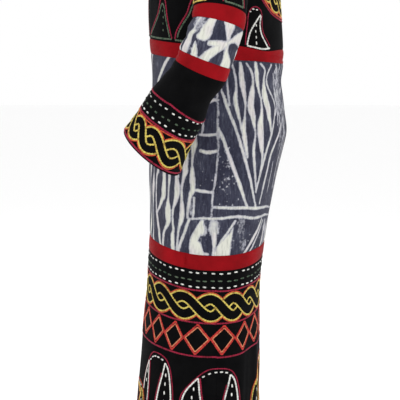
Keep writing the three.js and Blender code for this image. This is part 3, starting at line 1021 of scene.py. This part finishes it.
def markUndyed(piece, surface, strokes, patches, mirrorAt=None, flip=False):
    # the distance of each point round its own ring, then the strokes and patches that lie there. mirrorAt:
    # the angle past which the far side's strokes begin. flip: for the right sleeve
    mesh = piece.data
    angle, place = (np.empty(len(mesh.vertices), np.float32) for _ in range(2))
    mesh.attributes["bearing"].data.foreach_get("value", angle)
    mesh.attributes["place"].data.foreach_get("value", place)
    angle, place = angle.astype(float), place.astype(float)
    if flip:
        angle = (np.pi - angle + np.pi) % (2 * np.pi) - np.pi
    if mirrorAt:
        right = np.abs(angle) > mirrorAt
        angle = np.where(right, np.sign(angle) * np.pi - angle, angle)
    across = np.empty(angle.shape)
    for row in np.unique(np.round(place, 2)):
        there = np.abs(place - row) < 0.02
        angles, around = girth(surface, row, 360)
        across[there] = np.interp(angle[there], angles, around)
    if mirrorAt:
        down, aside = otherHand["acrossWave"]
        across = across + right * otherHand["across"] * np.sin(place / down + across / aside)
        down, aside = otherHand["placeWave"]
        place = place + right * otherHand["place"] * np.sin(across / aside + place / down)
    values = undyedBy(strokes, across, place)
    for middle, height, wide, tall, level in patches:
        # level within the patch's middle, then less and less
        far = np.hypot((across - middle) / wide, (place - height) / tall)
        edge = np.clip(far - patchEdge["start"], 0, patchEdge["reach"])
        values = np.maximum(values, level - patchEdge["fall"] * edge)
    mesh.attributes.new("undyed", "FLOAT", "POINT").data.foreach_set("value", values.astype(np.float32))


for nodeName in ("ndop_front", "ndop_back"):
    markUndyed(cloths[nodeName], onBody, sideStrokes, sidePatches, halfTurn / 2)
markUndyed(cloths["sleeve_ndop_left"], onSleeve, sleeveStrokes, sleevePatches)
markUndyed(cloths["sleeve_ndop_right"], onSleeve, sleeveStrokes, sleevePatches, flip=True)
print("ndop dyed")

# the bodice and the upper sleeves have their walls already
walls = {"velvet": velvetCloth["wall"], "red_satin": satinCloth["wall"], "ndop_cotton": ndopCloth["wall"]}
slots = {s["node"]: s["material_slot"] for s in frame["record"]["subparts"]}
for nodeName, piece in cloths.items():
    if "bodice" not in nodeName and "upper" not in nodeName:
        thicken(piece, walls[slots[nodeName]])
    finishCloth(piece, nodeName)
print("cloth finished")

threadSizes = {
    # width and height of the thread, and length of one stitch of the chain
    "line": (4.4, 1.7, 5.6),
    "fine": (3.0, 1.3, 5.0),
    "dash": (3.4, 1.6, 4.0),
}
# Shares of a thread's size: how deep it lies in the nap, how thick a chain is where two stitches meet, and
# how thick it ends, narrowed or cut at a seam. A row of stitches under the shortest, in mm, is left out.
stitching = {"sunk": 0.35, "waist": 0.62, "narrowEnd": 0.6, "cutEnd": 0.85, "sides": 6, "shortest": 0.6}
bodyRadius = 150
threads = {}


def sew(garment, colour, path, size, ends):
    # keeps a path of (angle, place) rows until its piece is made. ends: whether each end narrows
    if np.ptp(path[:, 0]) * bodyRadius + np.ptp(path[:, 1]) > stitching["shortest"]:
        threads.setdefault((garment, colour), []).append((path, size, ends))


def stitchRings(surface, path, size, ends):
    # rings along a chain of stitches: their middles, ways out and across, half widths and heights
    width, height, pitch = threadSizes[size]
    points = surface(path[:, 0], path[:, 1])
    far = np.concatenate([[0], np.cumsum(np.linalg.norm(np.diff(points, axis=0), axis=1))])
    count = 2 * max(round(far[-1] / (pitch * mm)), 1)
    where = np.linspace(0, far[-1], count + 1)
    angle, place = np.interp(where, far, path[:, 0]), np.interp(where, far, path[:, 1])
    points, normals = surface(angle, place), outward(surface, angle, place)
    along = np.gradient(points, axis=0)
    across = np.cross(along / np.linalg.norm(along, axis=1, keepdims=True), normals)
    thick = np.ones(count + 1)
    if size != "dash":
        thick[::2] = stitching["waist"]
    thick[[0, -1]] = [stitching["narrowEnd" if narrow else "cutEnd"] for narrow in ends]
    closed = [0, *range(count + 1), count]
    thick = np.concatenate([[0], thick, [0]])
    return points[closed], normals[closed], across[closed], thick * width / 2 * mm, thick * height * mm


def layThread(bm, surface, path, size, ends):
    # a grid, rolled up round the path
    points, normals, across, half, high = stitchRings(surface, path, size, ends)
    count, sides = len(points) - 1, stitching["sides"]
    verts = bmesh.ops.create_grid(bm, x_segments=count, y_segments=sides, size=1)["verts"]
    flat = np.array([v.co[:2] for v in verts])
    i = np.rint((flat[:, 0] + 1) / 2 * count).astype(int)
    turn = -2 * np.pi * np.rint((flat[:, 1] + 1) / 2 * sides) / sides
    side = (np.cos(turn) * half[i])[:, None] * across[i]
    up = ((np.sin(turn) * 0.5 + 0.5 - stitching["sunk"]) * high[i])[:, None] * normals[i]
    for vert, place in zip(verts, points[i] + side + up):
        vert.co = place


def makeThreads():
    # one piece for each colour on each cloth
    made = {}
    for (garment, colour), paths in threads.items():
        nodeName, surface = garment
        bm = bmesh.new()
        for path, size, ends in paths:
            layThread(bm, surface, path, size, ends)
        bmesh.ops.remove_doubles(bm, verts=bm.verts, dist=2e-6)
        bmesh.ops.recalc_face_normals(bm, faces=bm.faces)
        for face in bm.faces:
            face.smooth = True
        words = nodeName.split("_")
        name = words[0] + "".join(w.capitalize() for w in words[1:]) + colour.capitalize()
        mesh = bpy.data.meshes.new(name)
        bm.to_mesh(mesh)
        bm.free()
        piece = newObject(name, mesh, threadMaterials[colour])
        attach(piece, "root")
        made.setdefault(nodeName, []).append(piece)
    return made


def evenly(corners, count=12):
    # straight lines through corners, with points between them to follow the cloth
    corners = np.array(corners, float)
    parts = [np.linspace(a, b, count, endpoint=False) for a, b in zip(corners[:-1], corners[1:])]
    return np.vstack(parts + [corners[-1:]])


def filledRound(placed, total, spacing):
    # places listed one by one, then even ones for the rest of the ring, up to the first one again
    rest = total - (placed[-1] - placed[0])
    count = round(rest / spacing)
    return [*placed, *(placed[-1] + rest * np.arange(1, count + 1) / count)]


def besides(path, offset):
    # a flat path moved sideways: down, for one that runs to the back
    path = np.array(path, float)
    along = np.gradient(path, axis=0)
    along /= np.linalg.norm(along, axis=1, keepdims=True)
    return path + offset * np.stack([-along[:, 1], along[:, 0]], -1)


def splitAt(path, levels):
    # the parts of a path, cut exactly where its first column passes a level
    points, cuts = [path[0]], [0]
    for before, after in zip(path[:-1], path[1:]):
        low, high = sorted((before[0], after[0]))
        for level in sorted((v for v in levels if low < v < high), reverse=after[0] < before[0]):
            points.append(before + (after - before) * (level - before[0]) / (after[0] - before[0]))
            cuts.append(len(points) - 1)
        points.append(after)
    cuts.append(len(points) - 1)
    return [np.array(points[a : b + 1]) for a, b in zip(cuts[:-1], cuts[1:])]


# Ribbons of a twist, in millimetres: the pace along them, how far the lower one stops short of the upper one,
# how far out the rim lies, and how far a path round a ring runs past its ends. Their phase is smoothed over
# an odd number of paces, the shortest edge has so many, and a bend starts at a share of the swing.
ribbons = {"pace": 2, "trim": 0.5, "rimOut": 3.3, "spare": 80, "smooth": 11, "shortest": 4, "bend": 0.3}


# How steady the hand is, in millimetres: a ring's stray and its wave, a dash's strays across and down, each
# with its change from one dash to the next, and a dash's slant
hand = {"ring": (0.6, 23), "ringPoints": 260, "across": (1.3, 2.3), "down": (0.8, 1.7), "slant": 0.4}


class Bandwork:
    # lays flat designs on a ring of the garment. across: millimetres behind the left side's line, or
    # behind the right side's if flipped. place: drop or run. pieces: one, or a front and a back
    def __init__(self, pieces, surface, place, flip=False):
        self.pieces, self.flip, self.halved = pieces, flip, len(pieces) == 2
        self.angleOf, self.total = roundAt(surface, place)
        self.start = 0.0 if self.halved else -self.total / 2
        angles, around = girth(surface, place)
        self.frontMiddle, self.backMiddle = (np.interp(a, angles, around) for a in (np.pi / 2, -np.pi / 2))

    def line(self, colour, points, size="line", ends=(True, True)):
        points = np.array(points, float)
        angle = np.unwrap(self.angleOf(points[:, 0]))
        path = np.stack([np.pi - angle if self.flip else angle, points[:, 1]], -1)
        # a line that crosses the side seams is cut there
        parts = splitAt(path, np.pi * np.arange(-4, 5) + 1e-6) if self.halved else [path]
        for k, part in enumerate(parts):
            half = math.floor(part[:, 0].mean() / np.pi) % 2 if self.halved else 0
            narrow = (ends[0] and k == 0, ends[1] and k == len(parts) - 1)
            sew(self.pieces[half], colour, part, size, narrow)

    def curve(self, colour, points, size="line"):
        self.line(colour, smoothLine(points, 6), size)

    def ring(self, colour, place, size="line", course=((0, 0),)):
        # a line right round, a little unsteady. course: how far it strays from its place, as (across, shift)
        across = np.linspace(self.start, self.start + self.total, hand["ringPoints"])
        shift = np.interp(across, *np.array(course, float).T, period=self.total)
        stray, wave = hand["ring"]
        path = np.stack([across, place + stray * np.sin(across / wave + place) + shift], -1)
        self.line(colour, path, size, (False, False))

    def dashes(self, colour, place, spacing, length=7.6):
        # single stitches right round, none quite in its place
        count = round(self.total / spacing)
        (aside, asideStep), (down, downStep) = hand["across"], hand["down"]
        for k in range(count):
            middle = self.start + self.total * (k + 0.5) / count + aside * math.sin(k * asideStep + place)
            y = place + down * math.sin(k * downStep + place)
            self.line(colour, [(middle - length / 2, y), (middle + length / 2, y + hand["slant"])], "dash")

    def twist(self, colour, rim, path, eyes, ribbon, swing, closed=False):
        # two ribbons twisted together along a path, drawn by their edges, the falling one on top.
        # eyes: how far along the path the ribbons are parted. rim: thread round the outer bends
        path = np.array(path, float)
        far = np.concatenate([[0], np.cumsum(np.linalg.norm(np.diff(path, axis=0), axis=1))])
        away = besides(path, 1.0) - path
        s = np.linspace(0, far[-1], round(far[-1] / ribbons["pace"]))
        phase, smooth = np.interp(s, eyes, np.pi * np.arange(len(eyes))), ribbons["smooth"]
        phase = np.pad(phase, smooth // 2, mode="reflect", reflect_type="odd")
        phase = np.convolve(phase, np.ones(smooth) / smooth, "valid")
        for side in (1, -1):
            centre = side * swing * np.cos(phase)
            slope = np.gradient(centre, s)
            for edge in (-ribbon / 2, ribbon / 2):
                at = s - slope * edge / np.sqrt(1 + slope**2)
                off = centre + edge / np.sqrt(1 + slope**2)
                otherSlope = np.interp(at, s, -slope)
                gap = np.abs(off + np.interp(at, s, centre)) / np.sqrt(1 + otherSlope**2)
                seen = ~((otherSlope > 0) & (gap < ribbon / 2 - ribbons["trim"]))
                bend = (edge * centre > 0) & (np.abs(centre) > ribbons["bend"] * swing)
                base, out = (
                    np.stack([np.interp(at, far, column) for column in rows.T], -1) for rows in (path, away)
                )
                for thread, size, more, shown in (
                    (colour, "line", 0.0, seen),
                    (rim, "fine", ribbons["rimOut"] * np.sign(edge), seen & bend),
                ):
                    line = base + (off + more)[:, None] * out
                    changes = np.flatnonzero(np.diff(shown.astype(int))) + 1
                    for run in np.split(np.arange(len(s)), changes):
                        if shown[run[0]] and len(run) >= ribbons["shortest"]:
                            self.ribbonEdge(thread, line[run], size, closed)

    def ribbonEdge(self, thread, line, size, closed):
        if not closed:
            self.line(thread, line, size)
            return
        # of a path that runs past its ring's ends, only one turn is kept
        limits = (self.start, self.start + self.total)
        parts = splitAt(line, limits)
        for k, part in enumerate(parts):
            if limits[0] < part[:, 0].mean() < limits[1]:
                self.line(thread, part, size, (k == 0, k == len(parts) - 1))

    def twistRound(self, colour, rim, place, eyes, spacing, ribbon, swing):
        # a twist right round. The ribbons meet where they started if the number of eyes is even
        once = filledRound(eyes, self.total, spacing)[:-1]
        everywhere = [e + turn * self.total for turn in (-2, -1, 0, 1, 2) for e in once]
        first, last = self.start - ribbons["spare"], self.start + self.total + ribbons["spare"]
        path = [(across, place) for across in (first, self.start + self.total / 2, last)]
        self.twist(colour, rim, path, np.array(everywhere) - first, ribbon, swing, True)


skirtPieces = (("skirt_front", onBody), ("skirt_back", onBody))
bodicePieces = (("bodice_front", onBody), ("bodice_back", onBody))

skirtWork = {
    "measuredAt": (960, 1040, 1150),  # drops of the rings on which the twist, the diamonds and the arches lie
    "dashDrops": (893, 910, 924),
    "dashSpacing": 16.6,
    "greenDash": 9.0,
    "whiteDash": 7.6,
    "lines": (931, 1003, 1076),
    "eyes": (-136, -73, -12, 37, 86),
    "eyeSpacing": 54,
    "twist": (968, 22, 19),  # drop of the middle, width of a ribbon, swing
    "crossings": (-164, -120, -72, -13, 41, 87),  # where two diamonds meet
    "crossingSpacing": 54,
    "diamond": (1006, 1038, 1072),  # drops of the top, the sides and the bottom
    "diamondLean": 3,  # how far its top lies behind its middle, and its bottom in front
    "diamondRows": ((0.6, "red", "line"), (4.4, "coral", "fine")),  # how far in each row of stitches lies
    "mitre": 1.5,  # times as far in at the top and bottom
    "arches": (
        # across of the crown, from the middle that it is measured from, drop of the top, share of the full
        # width, colour and rim
        ("front", 38, 1172, 0.98, "yellow", "orange"),
        ("side", -144, 1090, 0.56, "white", "magenta"),
        ("side", 5, 1101, 1.0, "white", "magenta"),
        ("back", -22, 1112, 1.0, "yellow", "orange"),
        ("farSideByBack", 22, 1100, 0.96, "white", "magenta"),
        ("farSideByFront", 172, 1092, 0.8, "white", "magenta"),
    ),
    "baseLine": 1307,
    "hemLines": (1322, 1329),
}


def embroiderSkirt():
    twistAt, diamondsAt, archesAt = skirtWork["measuredAt"]
    work = Bandwork(skirtPieces, onBody, twistAt)
    for drop, colour in zip(skirtWork["dashDrops"], ("white", "green", "white")):
        work.dashes(colour, drop, skirtWork["dashSpacing"], skirtWork[colour + "Dash"])
    middle, ribbon, swing = skirtWork["twist"]
    work.twistRound("yellow", "orange", middle, skirtWork["eyes"], skirtWork["eyeSpacing"], ribbon, swing)
    work = Bandwork(skirtPieces, onBody, diamondsAt)
    for drop in skirtWork["lines"]:
        work.ring("magenta", drop)
    sides = filledRound(skirtWork["crossings"], work.total, skirtWork["crossingSpacing"])
    top, middle, bottom = skirtWork["diamond"]
    for k, (left, right) in enumerate(zip(sides[:-1], sides[1:])):
        sway, lean = math.sin(k * 2.1), skirtWork["diamondLean"]
        high = ((left + right) / 2 + lean + sway, top + sway)
        low = ((left + right) / 2 - lean, bottom + 2 * math.sin(k))
        for inset, colour, size in skirtWork["diamondRows"]:
            cut = skirtWork["mitre"] * inset
            up, down = (high[0], high[1] + cut), (low[0], low[1] - cut)
            for edge in (left + inset, right - inset):
                work.line(colour, evenly([up, (edge, middle + 2 * math.sin(k * 1.6)), down]), size)
    work = Bandwork(skirtPieces, onBody, archesAt)
    front, back = work.frontMiddle, work.backMiddle
    # the far side's arches mirror the near side's, about the middle of the back or the front
    middles = {"side": 0, "front": front, "back": back}
    middles.update(farSideByBack=2 * back, farSideByFront=2 * front)
    for middle, across, top, wide, colour, rim in skirtWork["arches"]:
        archMotif(work, middles[middle] + across, top, wide, colour, rim)
    work.ring("magenta", skirtWork["baseLine"], "fine")
    for drop, colour in zip(skirtWork["hemLines"], ("magenta", "orange")):
        work.ring(colour, drop, "line" if colour == "magenta" else "fine")


# An arch of full size with two flames in it, as (across, down) from its crown. left and right are its rim.
archLines = {
    "left": (
        (0, 0), (-20, 2.5), (-37, 12.5), (-52, 26.5), (-66, 42), (-76, 55), (-83, 68), (-88, 95),
        (-90, 130), (-89, 206),
    ),
    "right": ((0, 0), (16, 1.5), (29, 8), (38, 22), (43, 40), (47, 66), (49, 100), (49.5, 140), (49, 206)),
    "leftOuter": ((-45, 23), (-58, 37), (-70, 52), (-78, 68), (-83, 95), (-85, 130), (-84, 198)),
    "leftInner": ((-45, 23), (-43, 37), (-41, 57), (-39, 68), (-37, 100), (-36, 140), (-37, 198)),
    "rightInner": ((25.5, 15), (21, 37), (13, 68), (8, 100), (5, 140), (5, 198)),
    "rightOuter": ((25.5, 15), (33, 24), (38, 41), (42, 68), (44, 100), (44, 140), (43, 198)),
}
crownDashes = ((-33, 19), (-20, 12), (-6, 8.5), (6, 8), (17, 10))
archSizes = {
    "tall": 206,
    "footGap": 3,  # from its feet to the base line
    "narrow": 0.6,  # an arch narrower than this share runs into the one in front of it
    "neighbour": 86,  # how far down it does so
    "lastRow": 80,  # and the last of its own rows before that
    "flameRims": (("leftInner", 4.0, "line", 0), ("rightInner", -3.6, "fine", 1)),  # aside, first point
    "dashes": (25, 12, 19, 3.6),  # first below a flame's tip, last above its foot, step, half length
    "dashLean": 0.3,
    "crownDash": 3.2,
    "arcs": (0.80, 0.62, 0.44),  # sizes of the arcs that fill a coloured arch
    "arcCrown": (-8, 24, 14),  # across and down of an arc without size, and how far the full size lifts it
}


def archMotif(work, crown, top, wide, colour, rim):
    foot = (skirtWork["baseLine"] - archSizes["footGap"] - top) / archSizes["tall"]
    narrow = wide < archSizes["narrow"]

    def laid(points, aside=0.0):
        # wide narrows the half of the arch that faces the front
        points = np.array(points, float)
        across = np.where(points[:, 0] < 0, wide, 1.0) * points[:, 0]
        return np.stack([crown + aside + across, top + foot * points[:, 1]], -1)

    for name, thread, size in (
        ("left", rim, "fine"),
        ("right", rim, "fine"),
        ("leftOuter", colour, "line"),
        ("leftInner", colour, "line"),
        ("rightInner", colour, "line"),
        ("rightOuter", colour, "line"),
    ):
        rows, end = np.array(archLines[name], float), archSizes["neighbour"]
        if narrow and name in ("left", "leftOuter"):
            own = rows[rows[:, 1] < archSizes["lastRow"]]
            rows = np.vstack([own, (np.interp(end, rows[:, 1], rows[:, 0]), end)])
        work.curve(thread, laid(rows), size)
    for name, aside, size, start in archSizes["flameRims"]:
        work.curve(rim, laid(archLines[name], aside)[start:-1], size)
    first, last, step, half = archSizes["dashes"]
    for outer, inner in (("leftOuter", "leftInner"), ("rightOuter", "rightInner")):
        a, b = laid(archLines[outer]), laid(archLines[inner])
        bottom = a[-1, 1]
        if narrow and outer == "leftOuter":
            bottom = a[4, 1]
        else:
            work.line(colour, evenly([a[-1], b[-1]], 6))
        for y in np.arange(a[0, 1] + first, bottom - last, step):
            x = (np.interp(y, a[:, 1], a[:, 0]) + np.interp(y, b[:, 1], b[:, 0])) / 2
            work.line("white", [(x, y - half), (x + archSizes["dashLean"], y + half)], "dash")
    dots = laid(crownDashes)
    for (x, y), (dx, dy) in zip(dots, np.gradient(dots, axis=0)):
        lean = archSizes["crownDash"] / math.hypot(dx, dy)
        work.line("white", [(x - lean * dx, y - lean * dy), (x + lean * dx, y + lean * dy)], "dash")
    if colour == "yellow":
        over = np.array(archLines["left"][:6][::-1] + archLines["right"][1:5])
        aside, down, lift = archSizes["arcCrown"]
        for k, size in enumerate(archSizes["arcs"]):
            work.curve((colour, rim)[k % 2], laid(over * size + (aside, down - lift * size)), "line")


cuffWork = {
    "measuredAt": 545,
    "lines": (484, 528, 592),
    "orangeLine": 3.6,  # below the middle line
    "dashRuns": (491, 507, 520),
    "dashSpacing": 16,
    "dash": 6.2,
    "eyes": (-98, -61, -24, 28, 90),
    "eyeSpacing": 42,
    "twist": (560, 17, 17.6),
    # how the top line strays, as (across, shift)
    "course": ((-130, 0), (-80, -2.5), (-20, -4.5), (30, 1), (55, 5), (90, 5), (140, 0)),
}


def embroiderCuff(pieceName, surface, flip):
    work = Bandwork(((pieceName, surface),), onSleeve, cuffWork["measuredAt"], flip)
    for run, colour in zip(cuffWork["dashRuns"], ("white", "green", "white")):
        work.dashes(colour, run, cuffWork["dashSpacing"], cuffWork["dash"])
    top, middle, bottom = cuffWork["lines"]
    work.ring("magenta", top, course=cuffWork["course"])
    work.ring("magenta", middle)
    work.ring("magenta", bottom)
    work.ring("orange", middle + cuffWork["orangeLine"], "fine")
    middle, ribbon, swing = cuffWork["twist"]
    work.twistRound("yellow", "orange", middle, cuffWork["eyes"], cuffWork["eyeSpacing"], ribbon, swing)


# The right side of a narrow-necked bottle, as shares of its half width and its height
bottleSide = ((1, 0), (0.84, 0.14), (0.48, 0.4), (0.3, 0.66), (0.24, 0.9), (0, 1))
# In it a column of dashes: their number, the first one above the base, how many steps make up the height, and
# half of a dash. rimOut: how far out the rim lies
bottleSizes = {"rimOut": 3.8, "dashes": 4, "firstDash": 10, "steps": 6, "halfDash": 2.5}


def bottleMotif(work, middle, colour, rim, base, tall, half):
    # base: where its base line lies
    for size, thread, out in (("line", colour, 0.0), ("fine", rim, bottleSizes["rimOut"])):
        right = [(x * half + (out if x else 0), -y * tall - (0 if x else out)) for x, y in bottleSide]
        right = np.array(right)
        shape = np.vstack([right, (right * (-1, 1))[-2::-1]]) + (middle, base)
        work.curve(thread, shape, size)
    work.line(colour, evenly([(middle - half, base), (middle + half, base)], 8))
    for k in range(bottleSizes["dashes"]):
        x, y = middle + (-1) ** k, base - bottleSizes["firstDash"] - k * tall / bottleSizes["steps"]
        ends = [(x, y - bottleSizes["halfDash"]), (x, y + bottleSizes["halfDash"])]
        work.line("green" if colour == "green" else "white", ends, "dash")


# Motifs over the waist band, as (across, drop): two wide bottles in front of the arm, and one behind it that
# leans to the back
bodiceLines = (
    ("magenta", "line", (
        (-100, 408), (-107, 385), (-113, 361), (-117, 333), (-121, 322), (-127, 318), (-133, 322),
        (-138, 335), (-148, 358), (-170, 381), (-196, 407),
    )),
    ("green", "line", (
        (-106, 406), (-112, 385), (-118, 362), (-122, 342), (-128, 334), (-134, 342), (-143, 360),
        (-164, 383), (-188, 405),
    )),
    ("green", "line", ((-196, 409), (-170, 410), (-130, 410), (-100, 409))),
    ("magenta", "line", (
        (-92, 408), (-88, 392), (-76, 372), (-63, 353), (-57, 335), (-50, 322), (-42, 318), (-34, 324),
        (-30, 340), (-24, 362), (-12, 386), (4, 408),
    )),
    ("green", "line", (
        (-86, 405), (-82, 392), (-71, 374), (-58, 355), (-51, 338), (-44, 331), (-38, 340), (-30, 364),
        (-18, 388), (-4, 405),
    )),
    ("green", "line", ((-92, 410), (-60, 411), (-20, 411), (4, 409))),
    ("white", "line", (
        (62, 412), (65, 401), (71, 386), (84, 368), (98, 353), (95.5, 370), (96, 384), (102, 397),
        (118, 411),
    )),
    ("white", "line", ((62, 413), (80, 413), (100, 413), (123, 411))),
    ("magenta", "fine", (
        (58, 412), (60, 395), (64, 372), (67, 352), (74, 341), (84, 337), (94, 340), (101, 349),
        (101, 368), (102, 383), (108, 394), (123, 408),
    )),
)
# Dashes in them: half of one as (across, drop), and their middles
bodiceDashes = (
    ("green", (0.3, 2.4), (
        (-127, 350), (-125, 364), (-126, 378), (-126, 392), (-46, 352), (-45, 368), (-46, 384), (-47, 398),
    )),
    ("white", (2.6, 0.4), ((71, 347), (79, 342), (88, 343))),
    ("white", (0.3, 2.4), ((85, 374), (83, 386), (84, 397), (84, 406))),
)
bodiceRings = {"sides": 370, "yoke": 330}  # drops of the rings on which the motifs are measured
yoke = {
    # A twist that hangs round the chest and the back: half of the middle line of its ribbons, as
    # (across, drop) from the middle of the back or the front
    "back": (
        (0, 331), (30, 330), (58, 328), (86, 321), (110, 307), (124, 286), (126, 258), (120, 232),
        (113, 208), (110, 184),
    ),
    "front": ((0, 262), (45, 258), (85, 243), (112, 220), (128, 194), (136, 168)),
    "ribbon": 17,
    "swing": 14,
    "eyeSpacing": 42,
    "border": 26,  # how far from the middle line the orange lines lie
    "outerBorder": 31,
}
frontBottle = {"base": 409, "tall": 92, "half": 26}


def embroiderBodice():
    for flip in (False, True):
        work = Bandwork(bodicePieces, onBody, bodiceRings["sides"], flip)
        for colour, size, points in bodiceLines:
            work.curve(colour, points, size)
        for colour, (dx, dy), dots in bodiceDashes:
            for x, y in dots:
                work.line(colour, [(x - dx, y - dy), (x + dx, y + dy)], "dash")
    work = Bandwork(bodicePieces, onBody, bodiceRings["yoke"])
    bottleMotif(work, work.frontMiddle, "green", "magenta", **frontBottle)
    for middle, half in ((work.backMiddle, yoke["back"]), (work.frontMiddle, yoke["front"])):
        half = smoothLine(half)
        path = np.vstack([half[:0:-1] * (-1, 1), half]) + (middle, 0)
        work.line("orange", besides(path, yoke["border"]))
        work.line("magenta", besides(path, yoke["outerBorder"]))
        work.line("orange", besides(path, -yoke["border"]), "fine")
        length = np.linalg.norm(np.diff(path, axis=0), axis=1).sum()
        eyes = np.linspace(0, length, round(length / yoke["eyeSpacing"]) + 1)
        work.twist("yellow", "orange", path, eyes, yoke["ribbon"], yoke["swing"])


upperSleeveWork = {
    "measuredAt": 262,
    "bottle": {"base": 281, "tall": 66, "half": 22},
    "green": (31, -138),  # middles of the bottles of each colour
    "yellow": (-50, 126),
}


def embroiderUpperSleeve(pieceName, surface, flip):
    work = Bandwork(((pieceName, surface),), onSleeve, upperSleeveWork["measuredAt"], flip)
    for colour, rim in (("green", "magenta"), ("yellow", "orange")):
        for middle in upperSleeveWork[colour]:
            bottleMotif(work, middle, colour, rim, **upperSleeveWork["bottle"])


embroiderSkirt()
for side, surface in (("left", onSleeve), ("right", onRightSleeve)):
    embroiderCuff("cuff_" + side, surface, side == "right")
    embroiderUpperSleeve("sleeve_upper_" + side, surface, side == "right")
embroiderBodice()
threadPieces = makeThreads()
print("embroidered:", sum(len(pieces) for pieces in threadPieces.values()), "pieces of thread")

studio = {
    "floor": -1.42,
    "floorHalf": 14,
    "floorColour": (0.965, 0.965, 0.965, 1),
    "camera": (2.640, -0.035, -0.386),
    "down": 8.06,  # degrees that the camera looks down
    "lens": 108,
    "aim": (0, 0, -0.8),
    "lights": (
        # name, place, size, power
        ("key", (2.6, -1.5, 1.0), 1.6, 12),
        ("fill", (2.1, 2.0, 0.7), 1.6, 19),
        ("top", (0.6, -0.4, 1.9), 2.0, 15),
        ("rear", (-2.4, 0.6, 0.8), 1.8, 12),
    ),
}


def makeStudio():
    bm = bmesh.new()
    bmesh.ops.create_grid(bm, x_segments=1, y_segments=1, size=studio["floorHalf"])
    bmesh.ops.translate(bm, verts=bm.verts, vec=(0, 0, studio["floor"]))
    mesh = bpy.data.meshes.new("floor")
    bm.to_mesh(mesh)
    bm.free()
    pale, _, shader = newMaterial("pale floor")
    setInputs(shader, {"Base Color": studio["floorColour"], "Roughness": 0.9})
    newObject("floor", mesh, pale)

    world = bpy.data.worlds.new("studio")
    world.use_nodes = True
    setInputs(world.node_tree.nodes["Background"], {"Color": (1, 1, 1, 1), "Strength": 1.0})
    bpy.context.scene.world = world

    for name, place, size, power in studio["lights"]:
        data = bpy.data.lights.new(name, "AREA")
        data.size, data.energy = size, power
        light = bpy.data.objects.new(name, data)
        light.location = place
        light.rotation_euler = (Vector(studio["aim"]) - Vector(place)).to_track_quat("-Z", "Y").to_euler()
        bpy.context.scene.collection.objects.link(light)

    data = bpy.data.cameras.new("camera")
    data.lens, data.sensor_width = studio["lens"], 36
    camera = bpy.data.objects.new("camera", data)
    camera.location = studio["camera"]
    camera.rotation_euler = (math.radians(90 - studio["down"]), 0, math.radians(90))
    bpy.context.scene.collection.objects.link(camera)
    bpy.context.scene.camera = camera
    bpy.context.scene.view_settings.view_transform = "Standard"


makeStudio()
print("studio set")
